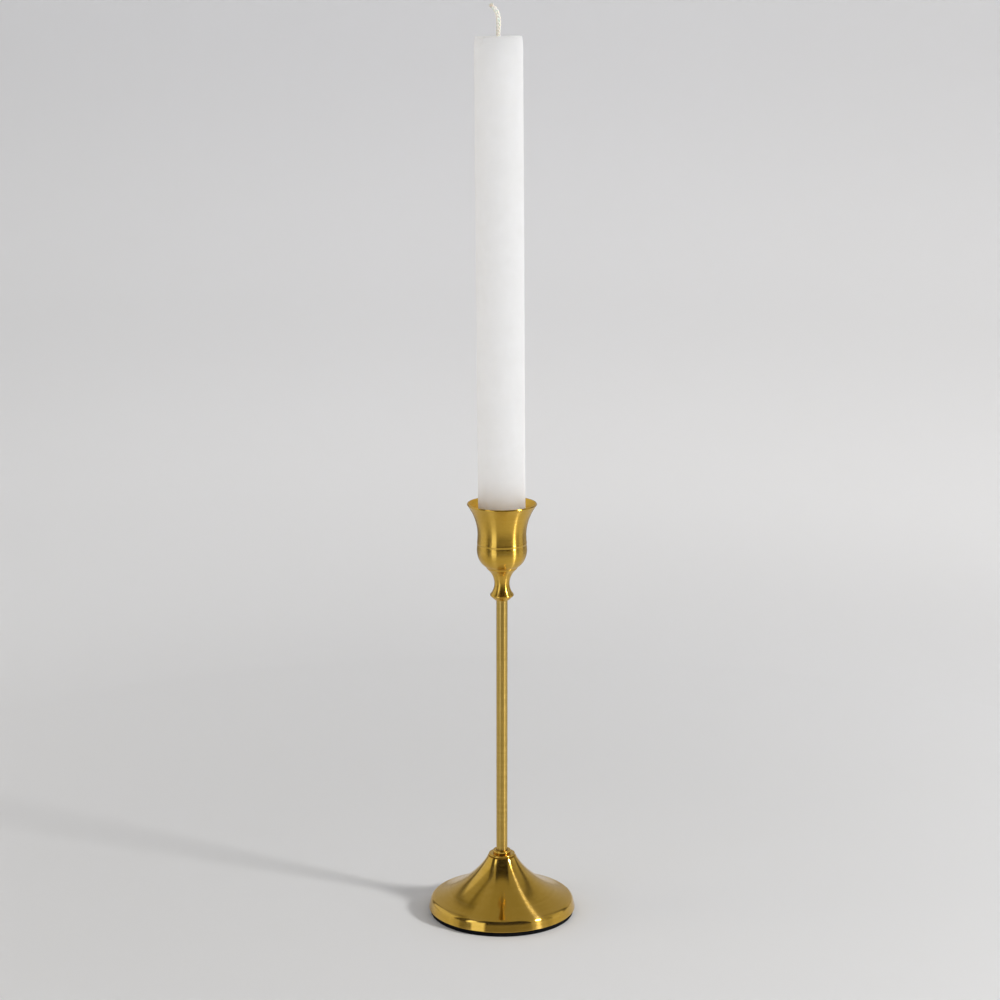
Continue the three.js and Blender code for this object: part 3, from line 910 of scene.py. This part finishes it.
# %% Base shell
BASE_WALL = 1.0
FOOT_HEIGHT = 5.1
FOOT_LEAN = 1.25
SHOULDER_ROUND = 1.7
TRUMPET_FOOT_ANGLE = 16
TRUMPET_FOOT_PULL = 11.2
TRUMPET_SEAT_ANGLE = 64.5
TRUMPET_SEAT_PULL = 8.5
SEAT_RADIUS = 6.6
FOOT_EDGE = 0.25
SEAT_EDGE = 0.2
LINING_START = 0.3
ROD_HOLE = 1.8

base = span("base_shell")
foot = Vector((base.radius, base.low))
shoulder = Vector((base.radius - FOOT_LEAN, base.low + FOOT_HEIGHT))
inward = heading(180 - TRUMPET_FOOT_ANGLE)
start = shoulder + inward * SHOULDER_ROUND
seat = Vector((SEAT_RADIUS, base.high))
trumpet = bezier(
    start, start + inward * TRUMPET_FOOT_PULL,
    seat + heading(-TRUMPET_SEAT_ANGLE) * TRUMPET_SEAT_PULL, seat,
)
skin = run(foot, (*shoulder, SHOULDER_ROUND), trumpet[1])[:-1] + trumpet[1:]
lining = between(shifted(skin, BASE_WALL), base.low + LINING_START, base.high - BASE_WALL)
lining_foot = Vector((foot.x - BASE_WALL, base.low))
wall_top = Vector((lining[-1].x, base.high - BASE_WALL))
base_outline = run(
    (foot.x - BASE_WALL / 2, foot.y), (*foot, FOOT_EDGE), *skin[1:-1], (*seat, SEAT_EDGE),
    (ROD_HOLE, base.high), (ROD_HOLE, base.high - BASE_WALL), wall_top, *reversed(lining),
    lining_foot, (foot.x - BASE_WALL / 2, foot.y),
)
base_shell = turned("base_shell_brass", base_outline, BUFFED, steps=256)

# %% Pad
PAD_EDGE = 0.2
pad = span("base_pad")
pad_outline = run(
    (0, pad.low), (pad.radius, pad.low, PAD_EDGE), (pad.radius, pad.high, PAD_EDGE / 2), (0, pad.high),
)
base_pad = turned("base_pad_foam", pad_outline, FOAM, steps=256)

# %% [markdown]
# ### Collar, stem and knop
#
# The collar is two rounded steps that hide where the tube meets the base. The tube is plain. The knop
# is a little spool: a sharp lip over a chamfered underside, a narrow waist between two hollow curves,
# and a flat land that carries the cup.

# %% Collar and stem
COLLAR_FLANGE_HEIGHT = 1.2
COLLAR_NECK = 4.2
COLLAR_ROUND = 0.55
FLANGE_LIFT = 0.15
FLANGE_ROUND = 0.35
NECK_FILLET = 0.1
NECK_EASE_IN = 0.35
NECK_EASE_UP = 0.4
NECK_ROUND = 0.3
STEM_WALL = 0.8
STEM_EDGE = 0.15
SOCKET_FIT = 0.05

collar = span("stem_collar")
stem = span("stem_tube")
socket = stem.radius + SOCKET_FIT
flange_top = collar.low + COLLAR_FLANGE_HEIGHT
collar_outline = run(
    (ROD_HOLE, collar.low), (collar.radius - COLLAR_ROUND, collar.low),
    (collar.radius, collar.low + FLANGE_LIFT, FLANGE_ROUND), (collar.radius, flange_top, COLLAR_ROUND),
    (COLLAR_NECK - NECK_EASE_IN, flange_top, NECK_FILLET),
    (COLLAR_NECK, flange_top + NECK_EASE_UP, NECK_ROUND), (COLLAR_NECK, collar.high, COLLAR_ROUND),
    (socket, collar.high), (socket, stem.low), (ROD_HOLE, stem.low), (ROD_HOLE, collar.low),
)
stem_collar = turned("stem_collar_brass", collar_outline, BUFFED)

bore = stem.radius - STEM_WALL
middle = (stem.low + stem.high) / 2
stem_outline = run(
    (stem.radius, middle), (stem.radius, stem.high, STEM_EDGE), (bore, stem.high, STEM_EDGE),
    (bore, stem.low, STEM_EDGE), (stem.radius, stem.low, STEM_EDGE), (stem.radius, middle),
)
stem_tube = turned("stem_tube_brass", stem_outline, STEM_BRASS, steps=96)

# %% Knop
KNOP_FOOT = 3.4
KNOP_FOOT_EDGE = 0.15
KNOP_LIP = 5.55
KNOP_LIP_HEIGHT = 2.0
KNOP_LIP_THICKNESS = 0.6
KNOP_LIP_EDGE = 0.2
SCOTIA_RADIUS = 5.0
SCOTIA_HEIGHT = 3.3
KNOP_WAIST = 3.55
KNOP_WAIST_HEIGHT = 7.8
KNOP_THROAT = 6.65
KNOP_THROAT_HEIGHT = 14.6
SEAM_RADIUS = 7.32
SEAM_LAND = 0.6
SEAM_LEAN = 0.25
SEAM_EDGES = (0.08, 0.04)
TAPPED_HOLE = 1.65

knop = span("knop")
lip_low = knop.low + KNOP_LIP_HEIGHT
waist = (KNOP_WAIST, knop.low + KNOP_WAIST_HEIGHT)
scotia = flare(waist, (SCOTIA_RADIUS, knop.low + SCOTIA_HEIGHT))[::-1]
throat = flare(waist, (KNOP_THROAT, knop.low + KNOP_THROAT_HEIGHT))[1:]
knop_outline = run(
    (socket, knop.low), (KNOP_FOOT, knop.low, KNOP_FOOT_EDGE), (KNOP_LIP, lip_low, KNOP_LIP_EDGE),
    (KNOP_LIP, lip_low + KNOP_LIP_THICKNESS, KNOP_LIP_EDGE), *scotia, *throat,
    (SEAM_RADIUS - SEAM_LEAN, knop.high - SEAM_LAND, SEAM_EDGES[0]),
    (SEAM_RADIUS, knop.high, SEAM_EDGES[1]), (TAPPED_HOLE, knop.high),
    (TAPPED_HOLE, stem.high), (socket, stem.high), (socket, knop.low),
)
knop_piece = turned("knop_brass", knop_outline, BRUSHED)

# %% [markdown]
# ### Cup
#
# The cup is the finest piece: a round bowl, a fine bead over a groove, a waist and a wide flared lip,
# all in a wall under a millimetre thick. The bowl is nearly a quarter of an ellipse and the flare an arc,
# and the inside is the same outline moved in by the wall. The lip ends in a narrow land that leans in a
# little.

# %% Cup
CUP_WALL = 0.8
CUP_FLOOR = 1.0
BOWL_RADIUS = 11.75
BOWL_HEIGHT = 8.5
BOWL_DEPTH = 9.0
BOWL_CORE = 4.5
CUP_WAIST = 11.38
CUP_WAIST_HEIGHT = 15.4
CUP_LIP = 16.3
LIP_LAND = 0.55
LIP_LEAN = 0.28
LIP_WALL = 0.5
LIP_EDGES = (0.15, 0.12, 0.2)
CUP_FOOT_EDGE = 0.05
FLOOR_CORNER = 0.3
LINE_HEIGHT = 11.3
LINE_STEPS = [(-0.95, 0.0, 0.25), (-0.35, -0.14, 0.12), (0.45, 0.11, 0.2), (1.2, 0.0, 0.25)]

cup = span("candle_cup")
bowl_start = -math.asin(BOWL_HEIGHT / BOWL_DEPTH)
bowl_angles = [bowl_start * (1 - i / CURVE_STEPS) for i in range(CURVE_STEPS + 1)]
bowl_level = cup.low + BOWL_HEIGHT
bowl = [
    Vector((BOWL_CORE + (BOWL_RADIUS - BOWL_CORE) * math.cos(a), bowl_level + BOWL_DEPTH * math.sin(a)))
    for a in bowl_angles
]
cup_waist = Vector((CUP_WAIST, cup.low + CUP_WAIST_HEIGHT))
upper = flare(cup_waist, (CUP_LIP, cup.high - LIP_LAND))


def on_wall(height):
    """A point of the straight wall between bowl and waist."""
    return bowl[-1].lerp(cup_waist, (height - bowl[-1].y) / (cup_waist.y - bowl[-1].y))


line = cup.low + LINE_HEIGHT
turned_line = [(*(on_wall(line + up) + Vector((out, 0))), reach) for up, out, reach in LINE_STEPS]
bowl_above_seam = [point for point in bowl if point.x > SEAM_RADIUS + CUP_FOOT_EDGE]
inner = between(shifted(bowl + upper, CUP_WALL), cup.low + CUP_FLOOR, cup.high - LIP_LAND)
lip_top = Vector((CUP_LIP - LIP_LEAN, cup.high))
lip_end = Vector((lip_top.x - LIP_WALL, cup.high))
lip_corners = [(*corner, edge) for corner, edge in zip((upper[-1], lip_top, lip_end), LIP_EDGES)]
cup_outline = run(
    (ROD_HOLE, cup.low), (SEAM_RADIUS, cup.low, CUP_FOOT_EDGE), *bowl_above_seam, *turned_line,
    *upper[:-1], *lip_corners, *reversed(inner), (inner[0].x - FLOOR_CORNER, cup.low + CUP_FLOOR),
    (ROD_HOLE, cup.low + CUP_FLOOR), (ROD_HOLE, cup.low),
)
candle_cup = turned("candle_cup_brass", cup_outline, BRUSHED, steps=224)


# %% Inside of the cup
def finish_inside(piece, finish):
    """Gives the faces that look towards the axis a finish of their own."""
    piece.data.materials.append(finish)
    inside_faces = [face for face in piece.data.polygons if face.normal.xy.dot(face.center.xy) < 0]
    for face in inside_faces:
        face.material_index = len(piece.data.materials) - 1
    print(piece.name, "has", len(inside_faces), "faces inside")


finish_inside(candle_cup, SATIN)

# %% [markdown]
# ### Fasteners and weight
#
# Inside the base a rod with threaded ends pulls on a nut, and a slotted screw holds the cup down on
# the knop. The thread and the nut's six flats are rules of the same tree. A thread needs several
# outline points for each turn, so a loop sets them. The screw's slot is cut by a boolean.

# %% Tie rod
THREAD_RADIUS = 1.5
PITCH = 0.5
THREAD_DEPTH = 0.28
THREAD_LEAD = 0.3
THREAD_RUNOUT = 0.4
POINTS_PER_TURN = 8
ROD_THREAD = 12
THREAD_SIZES = {
    "Thread_Radius": THREAD_RADIUS * MM, "Thread_Depth": THREAD_DEPTH * MM, "Thread_Pitch": PITCH * MM,
}


def threaded(radius, low, high):
    """Outline points up a thread."""
    count = round((high - low) / PITCH * POINTS_PER_TURN)
    return [(radius, low + (high - low) * i / count) for i in range(count + 1)]


rod = span("tie_rod")
shank = rod.radius - THREAD_DEPTH
low_thread = threaded(rod.radius, rod.low + THREAD_LEAD, rod.low + ROD_THREAD)
high_thread = threaded(rod.radius, rod.high - ROD_THREAD, rod.high - THREAD_LEAD)
rod_outline = run(
    (0, rod.low), (shank, rod.low), *low_thread, (shank, rod.low + ROD_THREAD + THREAD_RUNOUT),
    (shank, rod.high - ROD_THREAD - THREAD_RUNOUT), *high_thread, (shank, rod.high), (0, rod.high),
)
tie_rod = turned("tie_rod_steel", rod_outline, ZINC, steps=32, **THREAD_SIZES)

# %% Nut
NUT_FLATS = 6
NUT_CHAMFER = 0.35
THREAD_END = 0.1
nut = span("base_nut")
across_flats = 2 * nut.radius * MM * math.cos(math.pi / NUT_FLATS)
nut_bore = threaded(TAPPED_HOLE, nut.low + THREAD_END, nut.high - THREAD_END)
nut_face = nut.radius - 2 * NUT_CHAMFER
nut_outline = run(
    (TAPPED_HOLE, nut.low), (nut_face, nut.low), (nut.radius, nut.low + NUT_CHAMFER),
    (nut.radius, nut.high - NUT_CHAMFER), (nut_face, nut.high), (TAPPED_HOLE, nut.high),
    *reversed(nut_bore), (TAPPED_HOLE, nut.low),
)
flat_sizes = {"Flats": NUT_FLATS, "Across_Flats": across_flats}
base_nut = turned("base_nut_steel", nut_outline, ZINC, steps=96, **flat_sizes)

# %% Slotted screw
SCREW_HEAD_HEIGHT = 1.2
HEAD_EDGE = 0.12
HEAD_ROUND = 0.3
SLOT_WIDTH = 0.8
SLOT_DEPTH = 0.6
SLOT_OVERRUN = 3
screw = span("cup_screw")
head_low = screw.high - SCREW_HEAD_HEIGHT
screw_thread = threaded(rod.radius, screw.low + THREAD_LEAD, head_low - THREAD_END)
screw_outline = run(
    (0, screw.low), (shank, screw.low), *screw_thread, (shank, head_low),
    (screw.radius, head_low, HEAD_EDGE), (screw.radius, screw.high, HEAD_ROUND), (0, screw.high),
)
cup_screw = turned("cup_screw_steel", screw_outline, ZINC, steps=48, **THREAD_SIZES)

bpy.ops.mesh.primitive_cube_add(size=1, location=(0, 0, screw.high * MM))
slot_cutter = bpy.context.object
slot_cutter.scale = (SLOT_OVERRUN * screw.radius * MM, SLOT_WIDTH * MM, 2 * SLOT_DEPTH * MM)
slot = cup_screw.modifiers.new("slot", "BOOLEAN")
slot.object = slot_cutter
settle(cup_screw)
bpy.data.objects.remove(slot_cutter)


# %% Washers
def washer(node, edge):
    """A flat ring round the rod with its edges rounded."""
    ring = span(node)
    half_way = (ring.low + ring.high) / 2
    outline = run(
        (ROD_HOLE, half_way), (ROD_HOLE, ring.low, edge), (ring.radius, ring.low, edge),
        (ring.radius, ring.high, edge), (ROD_HOLE, ring.high, edge), (ROD_HOLE, half_way),
    )
    return turned(node + "_steel", outline, ZINC, steps=96)


cup_washer = washer("cup_washer", edge=0.1)
base_washer = washer("base_washer", edge=0.15)

# %% Weight
WEIGHT_FIT = 0.6
WEIGHT_EDGE = 0.3
WEIGHT_TOP_GAP = 0.1
WEIGHT_TOP_EASE = 0.4
POCKET_RADIUS = 6.5
POCKET_DEPTH = 7.0
weight_top = base.high - BASE_WALL
weight_curve = shifted(skin, BASE_WALL + WEIGHT_FIT)
weight_skin = between(weight_curve, base.low + LINING_START, weight_top - WEIGHT_TOP_GAP)
pocket_top = base.low + POCKET_DEPTH
weight_outline = run(
    (POCKET_RADIUS, base.low), (weight_skin[0].x, base.low, WEIGHT_EDGE), *weight_skin[1:],
    (weight_skin[-1].x - WEIGHT_TOP_EASE, weight_top), (ROD_HOLE, weight_top),
    (ROD_HOLE, pocket_top), (POCKET_RADIUS, pocket_top, WEIGHT_EDGE), (POCKET_RADIUS, base.low),
)
ballast_weight = turned("ballast_weight_iron", weight_outline, IRON, steps=128)

# %% [markdown]
# ## Candle
#
# A dinner candle is a plain cylinder of wax with a tapered butt. What makes it look like wax is the
# soft top edge, the small well round the wick and a surface that is never quite even, so the tree's
# unevenness is used here. The wax is cast round the wick and grips it, so the outline runs in to the
# axis and needs no bore. A knock has left a soft dent in the top edge on the left. The candle leans by
# less than half a degree, as candles do.

# %% Candle
CANDLE_RADIUS = 11.0
CANDLE_LENGTH = 240.0
CANDLE_EDGE = 0.7
CANDLE_CROWN = 0.45
SHOULDER_LENGTH = 5.0
SHOULDER_DROP = 0.45
CANDLE_FIT = 0.3
SHOULDER_ROUND_OFF = 1.2
BUTT_TAPER = 24.0
BUTT_CHAMFER = 2.0
BUTT_EDGE = 0.5
CROWN_RADIUS = 5.2
WELL_RADIUS = 3.2
WELL_LIP = 0.05
WELL_FLOOR = 1.9
WELL_DEPTH = 0.35
WAX_UNEVENNESS = 0.06
CANDLE_ROWS = 120
CANDLE_LEAN = math.radians(0.4)

butt = screw.high + CANDLE_FIT
top = butt + CANDLE_LENGTH
taper_top = butt + BUTT_TAPER
throat_radius = min(CANDLE_RADIUS, CUP_WAIST - CUP_WALL - CANDLE_FIT)
slope = (CANDLE_RADIUS - throat_radius) / (taper_top - cup_waist.y)
butt_radius = CANDLE_RADIUS - slope * BUTT_TAPER
shaft_length = top - SHOULDER_LENGTH - taper_top
rim = top + CANDLE_CROWN
shaft = [(CANDLE_RADIUS, taper_top + shaft_length * i / CANDLE_ROWS) for i in range(CANDLE_ROWS + 1)]
candle_outline = run(
    (0, butt), (butt_radius - BUTT_CHAMFER, butt, BUTT_EDGE),
    (butt_radius + slope * BUTT_CHAMFER, butt + BUTT_CHAMFER, BUTT_EDGE), *shaft,
    (CANDLE_RADIUS - SHOULDER_DROP / 3, top - SHOULDER_LENGTH / 2, SHOULDER_ROUND_OFF),
    (CANDLE_RADIUS - SHOULDER_DROP, rim, CANDLE_EDGE), (CROWN_RADIUS, rim), (WELL_RADIUS, rim - WELL_LIP),
    (WELL_FLOOR, rim - WELL_DEPTH), (0, rim - WELL_DEPTH),
)
wax_sizes = {"Unevenness": WAX_UNEVENNESS * MM, "Uneven_Scale": 90.0}
candle = turned("candle_wax", candle_outline, WAX, steps=160, **wax_sizes)

# %% Dent and lean of the candle
DENT_PLACE = Vector((-9.7, -5.0, top + 0.1)) * MM
DENT_RADIUS = 5.0 * MM
DENT_DEPTH = 1.6 * MM
DENT_DOWN = 0.6


def dent(mesh, place, radius, depth):
    """Presses a soft hollow into a mesh, towards its axis and down."""
    push = Vector((-place.x, -place.y, 0)).normalized() + Vector((0, 0, -DENT_DOWN))
    moved = 0
    for vertex in mesh.vertices:
        away = (vertex.co - place).length / radius
        if away < 1:
            vertex.co += push * depth * (1 - away * away) ** 2
            moved += 1
    print("dent moved", moved, "points")


dent(candle.data, DENT_PLACE, DENT_RADIUS, DENT_DEPTH)
pivot = Matrix.Translation((0, 0, cup_waist.y * MM))
lean = pivot @ Matrix.Rotation(-CANDLE_LEAN, 4, "Y") @ pivot.inverted()
candle.data.transform(lean)

# %% [markdown]
# ## Wick
#
# The wick is a cotton plait that runs the whole length of the candle and stands out a little over a
# centimetre, bent to the left, with a frayed end. Three strands swing from side to side and over and
# under each other, and each strand is three twisted yarns. That is a path with two rules, so it is a
# geometry tree: copy the path for each strand and shift it, then copy each strand for its yarns.

# %% Curve helpers
FULL_START = 0.005
FULL_END = 0.0085
THIN_START = 0.0125


def copies(tree, curve, amount):
    """Copies of a curve, and the number of each copy as a share of the whole."""
    wanted = {"Geometry": curve, "Amount": amount}
    made = add(tree, "GeometryNodeDuplicateElements", wanted, domain="SPLINE")
    return made.outputs["Geometry"], sums(tree, "DIVIDE", made.outputs["Duplicate Index"], amount)


def phase_of(tree, pitch, share):
    """An angle that turns once for each pitch along a curve, started off by a share of a turn."""
    length = add(tree, "GeometryNodeSplineParameter").outputs["Length"]
    turns = sums(tree, "ADD", sums(tree, "DIVIDE", length, pitch), share)
    return sums(tree, "MULTIPLY", turns, 2 * math.pi)


def shift_curve(tree, curve, sideways, depthways):
    """A curve moved by two distances across its own direction."""
    depth_axis = (0.0, 1.0, 0.0)
    tangent = add(tree, "GeometryNodeInputTangent").outputs[0]
    side = scaled(tree, vectors(tree, "CROSS_PRODUCT", depth_axis, tangent), sideways)
    offset = vectors(tree, "ADD", side, scaled(tree, depth_axis, depthways))
    return add(tree, "GeometryNodeSetPosition", {"Geometry": curve, "Offset": offset}).outputs[0]


def swell(tree, given):
    """How full the plait is: thin at the tip, full between two distances from it, then thin again."""
    length = add(tree, "GeometryNodeSplineParameter").outputs["Length"]
    left = sums(tree, "SUBTRACT", add(tree, "GeometryNodeSplineLength").outputs["Length"], length)
    past_the_neck = step(tree, left, THIN_START, FULL_END)
    full = sums(tree, "MULTIPLY", step(tree, left, 0.0, FULL_START), past_the_neck)
    return mix(tree, full, given["Thin"], 1.0)


def tube(tree, curve, radius, sides):
    """A curve with a skin round it and closed ends."""
    ring = add(tree, "GeometryNodeCurvePrimitiveCircle", {"Resolution": sides, "Radius": radius})
    skin = {"Curve": curve, "Profile Curve": ring.outputs[0], "Fill Caps": True}
    return add(tree, "GeometryNodeCurveToMesh", skin).outputs[0]


print("curve helpers ready")

# %% Frayed end
ROOT_SPREAD = 0.00035
SHORTEST_FIBRE = 0.35
FIBRE_STEPS = 5
FIBRE_SIDES = 4
FIBRE_BEND = {"Start": (0, 0, 0), "Middle": (0.1, 0.0, 0.6), "End": (0.45, 0.1, 1.0)}


def chance(tree, kind, low, high, seed):
    """A random value for each point, between low and high."""
    limits = {"Min": low, "Max": high, "Seed": seed}
    return add(tree, "FunctionNodeRandomValue", limits, data_type=kind).outputs[0]


def frayed_end(tree, given, path):
    """Loose fibres that fan out from the end of a path, each a short bent curve."""
    last = {0: path, "Factor": 1.0}
    end = add(tree, "GeometryNodeSampleCurve", last, mode="FACTOR", use_all_curves=True).outputs
    seeds = [sums(tree, "ADD", given["Seed"], k) for k in range(3)]
    root = chance(tree, "FLOAT_VECTOR", (-ROOT_SPREAD,) * 3, (ROOT_SPREAD,) * 3, seeds[0])
    places = {"Count": given["Fibres"], "Position": vectors(tree, "ADD", root, end["Position"])}
    dots = add(tree, "GeometryNodePoints", places).outputs[0]
    aside = chance(tree, "FLOAT_VECTOR", (-1.0,) * 3, (1.0,) * 3, seeds[1])
    way = vectors(tree, "ADD", end["Tangent"], scaled(tree, aside, given["Fan"]))
    turn_to = add(tree, "FunctionNodeAlignRotationToVector", {"Vector": way}, axis="Z").outputs[0]
    bent = {"Resolution": FIBRE_STEPS, **FIBRE_BEND}
    fibre = add(tree, "GeometryNodeCurveQuadraticBezier", bent).outputs[0]
    share = chance(tree, "FLOAT", SHORTEST_FIBRE, 1.0, seeds[2])
    size = sums(tree, "MULTIPLY", given["Fibre Length"], share)
    scattered = {"Points": dots, "Instance": fibre, "Rotation": turn_to, "Scale": size}
    fibres = add(tree, "GeometryNodeInstanceOnPoints", scattered).outputs[0]
    loose = add(tree, "GeometryNodeRealizeInstances", {"Geometry": fibres}).outputs[0]
    return tube(tree, loose, given["Fibre Radius"], FIBRE_SIDES)


print("fibres of the frayed end start within", ROOT_SPREAD / MM, "mm")

# %% Tree for the plait
PLAIT_STEP = 0.00035
YARN_SIDES = 6


def plait_tree():
    """The tree that plaits strands of twisted yarns along a path and frays their end."""
    tree, given = geometry_tree(
        "Plaited wick", Strands=3, Yarns=3, Swing=0.00062, Lift=0.00022, Plait_Pitch=0.0046,
        Lay_Radius=0.00025, Lay_Pitch=0.0032, Yarn_Radius=0.00034, Thin=0.76,
        Fibres=130, Fan=0.8, Fibre_Length=0.0024, Fibre_Radius=0.00009, Seed=3,
    )
    rough_path = add(tree, "GeometryNodeMeshToCurve", {0: given["Geometry"]}).outputs[0]
    path = add(tree, "GeometryNodeCurveSplineType", {0: rough_path}, spline_type="CATMULL_ROM").outputs[0]
    spacing = {"Curve": path, "Length": PLAIT_STEP}
    even = add(tree, "GeometryNodeResampleCurve", spacing, mode="LENGTH").outputs[0]
    strands, share = copies(tree, even, given["Strands"])
    phase = phase_of(tree, given["Plait Pitch"], share)
    swing = sums(tree, "MULTIPLY", sums(tree, "SINE", phase), given["Swing"])
    swing = sums(tree, "MULTIPLY", swing, swell(tree, given))
    double = sums(tree, "SINE", sums(tree, "MULTIPLY", phase, 2))
    strands = shift_curve(tree, strands, swing, sums(tree, "MULTIPLY", double, given["Lift"]))
    yarns, share = copies(tree, strands, given["Yarns"])
    phase = phase_of(tree, given["Lay Pitch"], share)
    lay = sums(tree, "MULTIPLY", given["Lay Radius"], swell(tree, given))
    side = sums(tree, "MULTIPLY", sums(tree, "COSINE", phase), lay)
    yarns = shift_curve(tree, yarns, side, sums(tree, "MULTIPLY", sums(tree, "SINE", phase), lay))
    cords = tube(tree, yarns, given["Yarn Radius"], YARN_SIDES)
    both = add(tree, "GeometryNodeJoinGeometry")
    for mesh in (frayed_end(tree, given, even), cords):
        tree.links.new(mesh, both.inputs[0])
    close_tree(tree, both.outputs[0], given["Material"])
    return tree


PLAIT = plait_tree()
print("tree:", PLAIT.name, "with", len(PLAIT.nodes), "nodes")

# %% Plaited wick
WICK_END = [
    (-0.05, 1.8), (0, 3.6), (0.1, 5.4), (0.05, 7.2), (-0.1, 9), (-0.4, 10.3), (-0.85, 11.5),
    (-1.45, 12.4), (-2.1, 13.0), (-2.7, 13.3),
]
WICK_START = 0.3
WICK_STATIONS = 160

station = (top - butt - WICK_START) / WICK_STATIONS
wick_route = [(0, butt + WICK_START + station * i) for i in range(WICK_STATIONS + 1)]
wick_route += [(sideways, top + up) for sideways, up in WICK_END]
wick_points = [lean @ Vector((x * MM, 0, z * MM)) for x, z in wick_route]
wick_links = [(i, i + 1) for i in range(len(wick_points) - 1)]
wick = grow("wick_cotton", wick_points, wick_links, PLAIT, Material=COTTON)

# %% [markdown]
# ## Which part carries what
#
# Every finished piece moves with the body of the part it stands for and hides that part. The spring
# washer keeps its imported shape and only gets the zinc finish.

# %% Bodies, slots and replaced parts
FINISHED = [
    (base_pad, "stick", "foam", "base_pad"),
    (base_shell, "stick", "brass", "base_shell"),
    (ballast_weight, "stick", "iron", "ballast_weight"),
    (base_washer, "stick", "steel", "base_washer"),
    (base_nut, "stick", "steel", "base_nut"),
    (stem_collar, "stick", "brass", "stem_collar"),
    (stem_tube, "stick", "stem_brass", "stem_tube"),
    (tie_rod, "stick", "steel", "tie_rod"),
    (knop_piece, "stick", "brass", "knop"),
    (candle_cup, "stick", "brass", "candle_cup"),
    (cup_washer, "stick", "steel", "cup_washer"),
    (cup_screw, "stick", "steel", "cup_screw"),
    (candle, "candle", "wax", "candle"),
    (wick, "candle", "cotton", "wick"),
]
for piece, body, slot_name, node in FINISHED:
    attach(piece, body)
    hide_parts(node)
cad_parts["lock_washer"].material_slots[0].material = ZINC
print(len(FINISHED), "finished pieces")
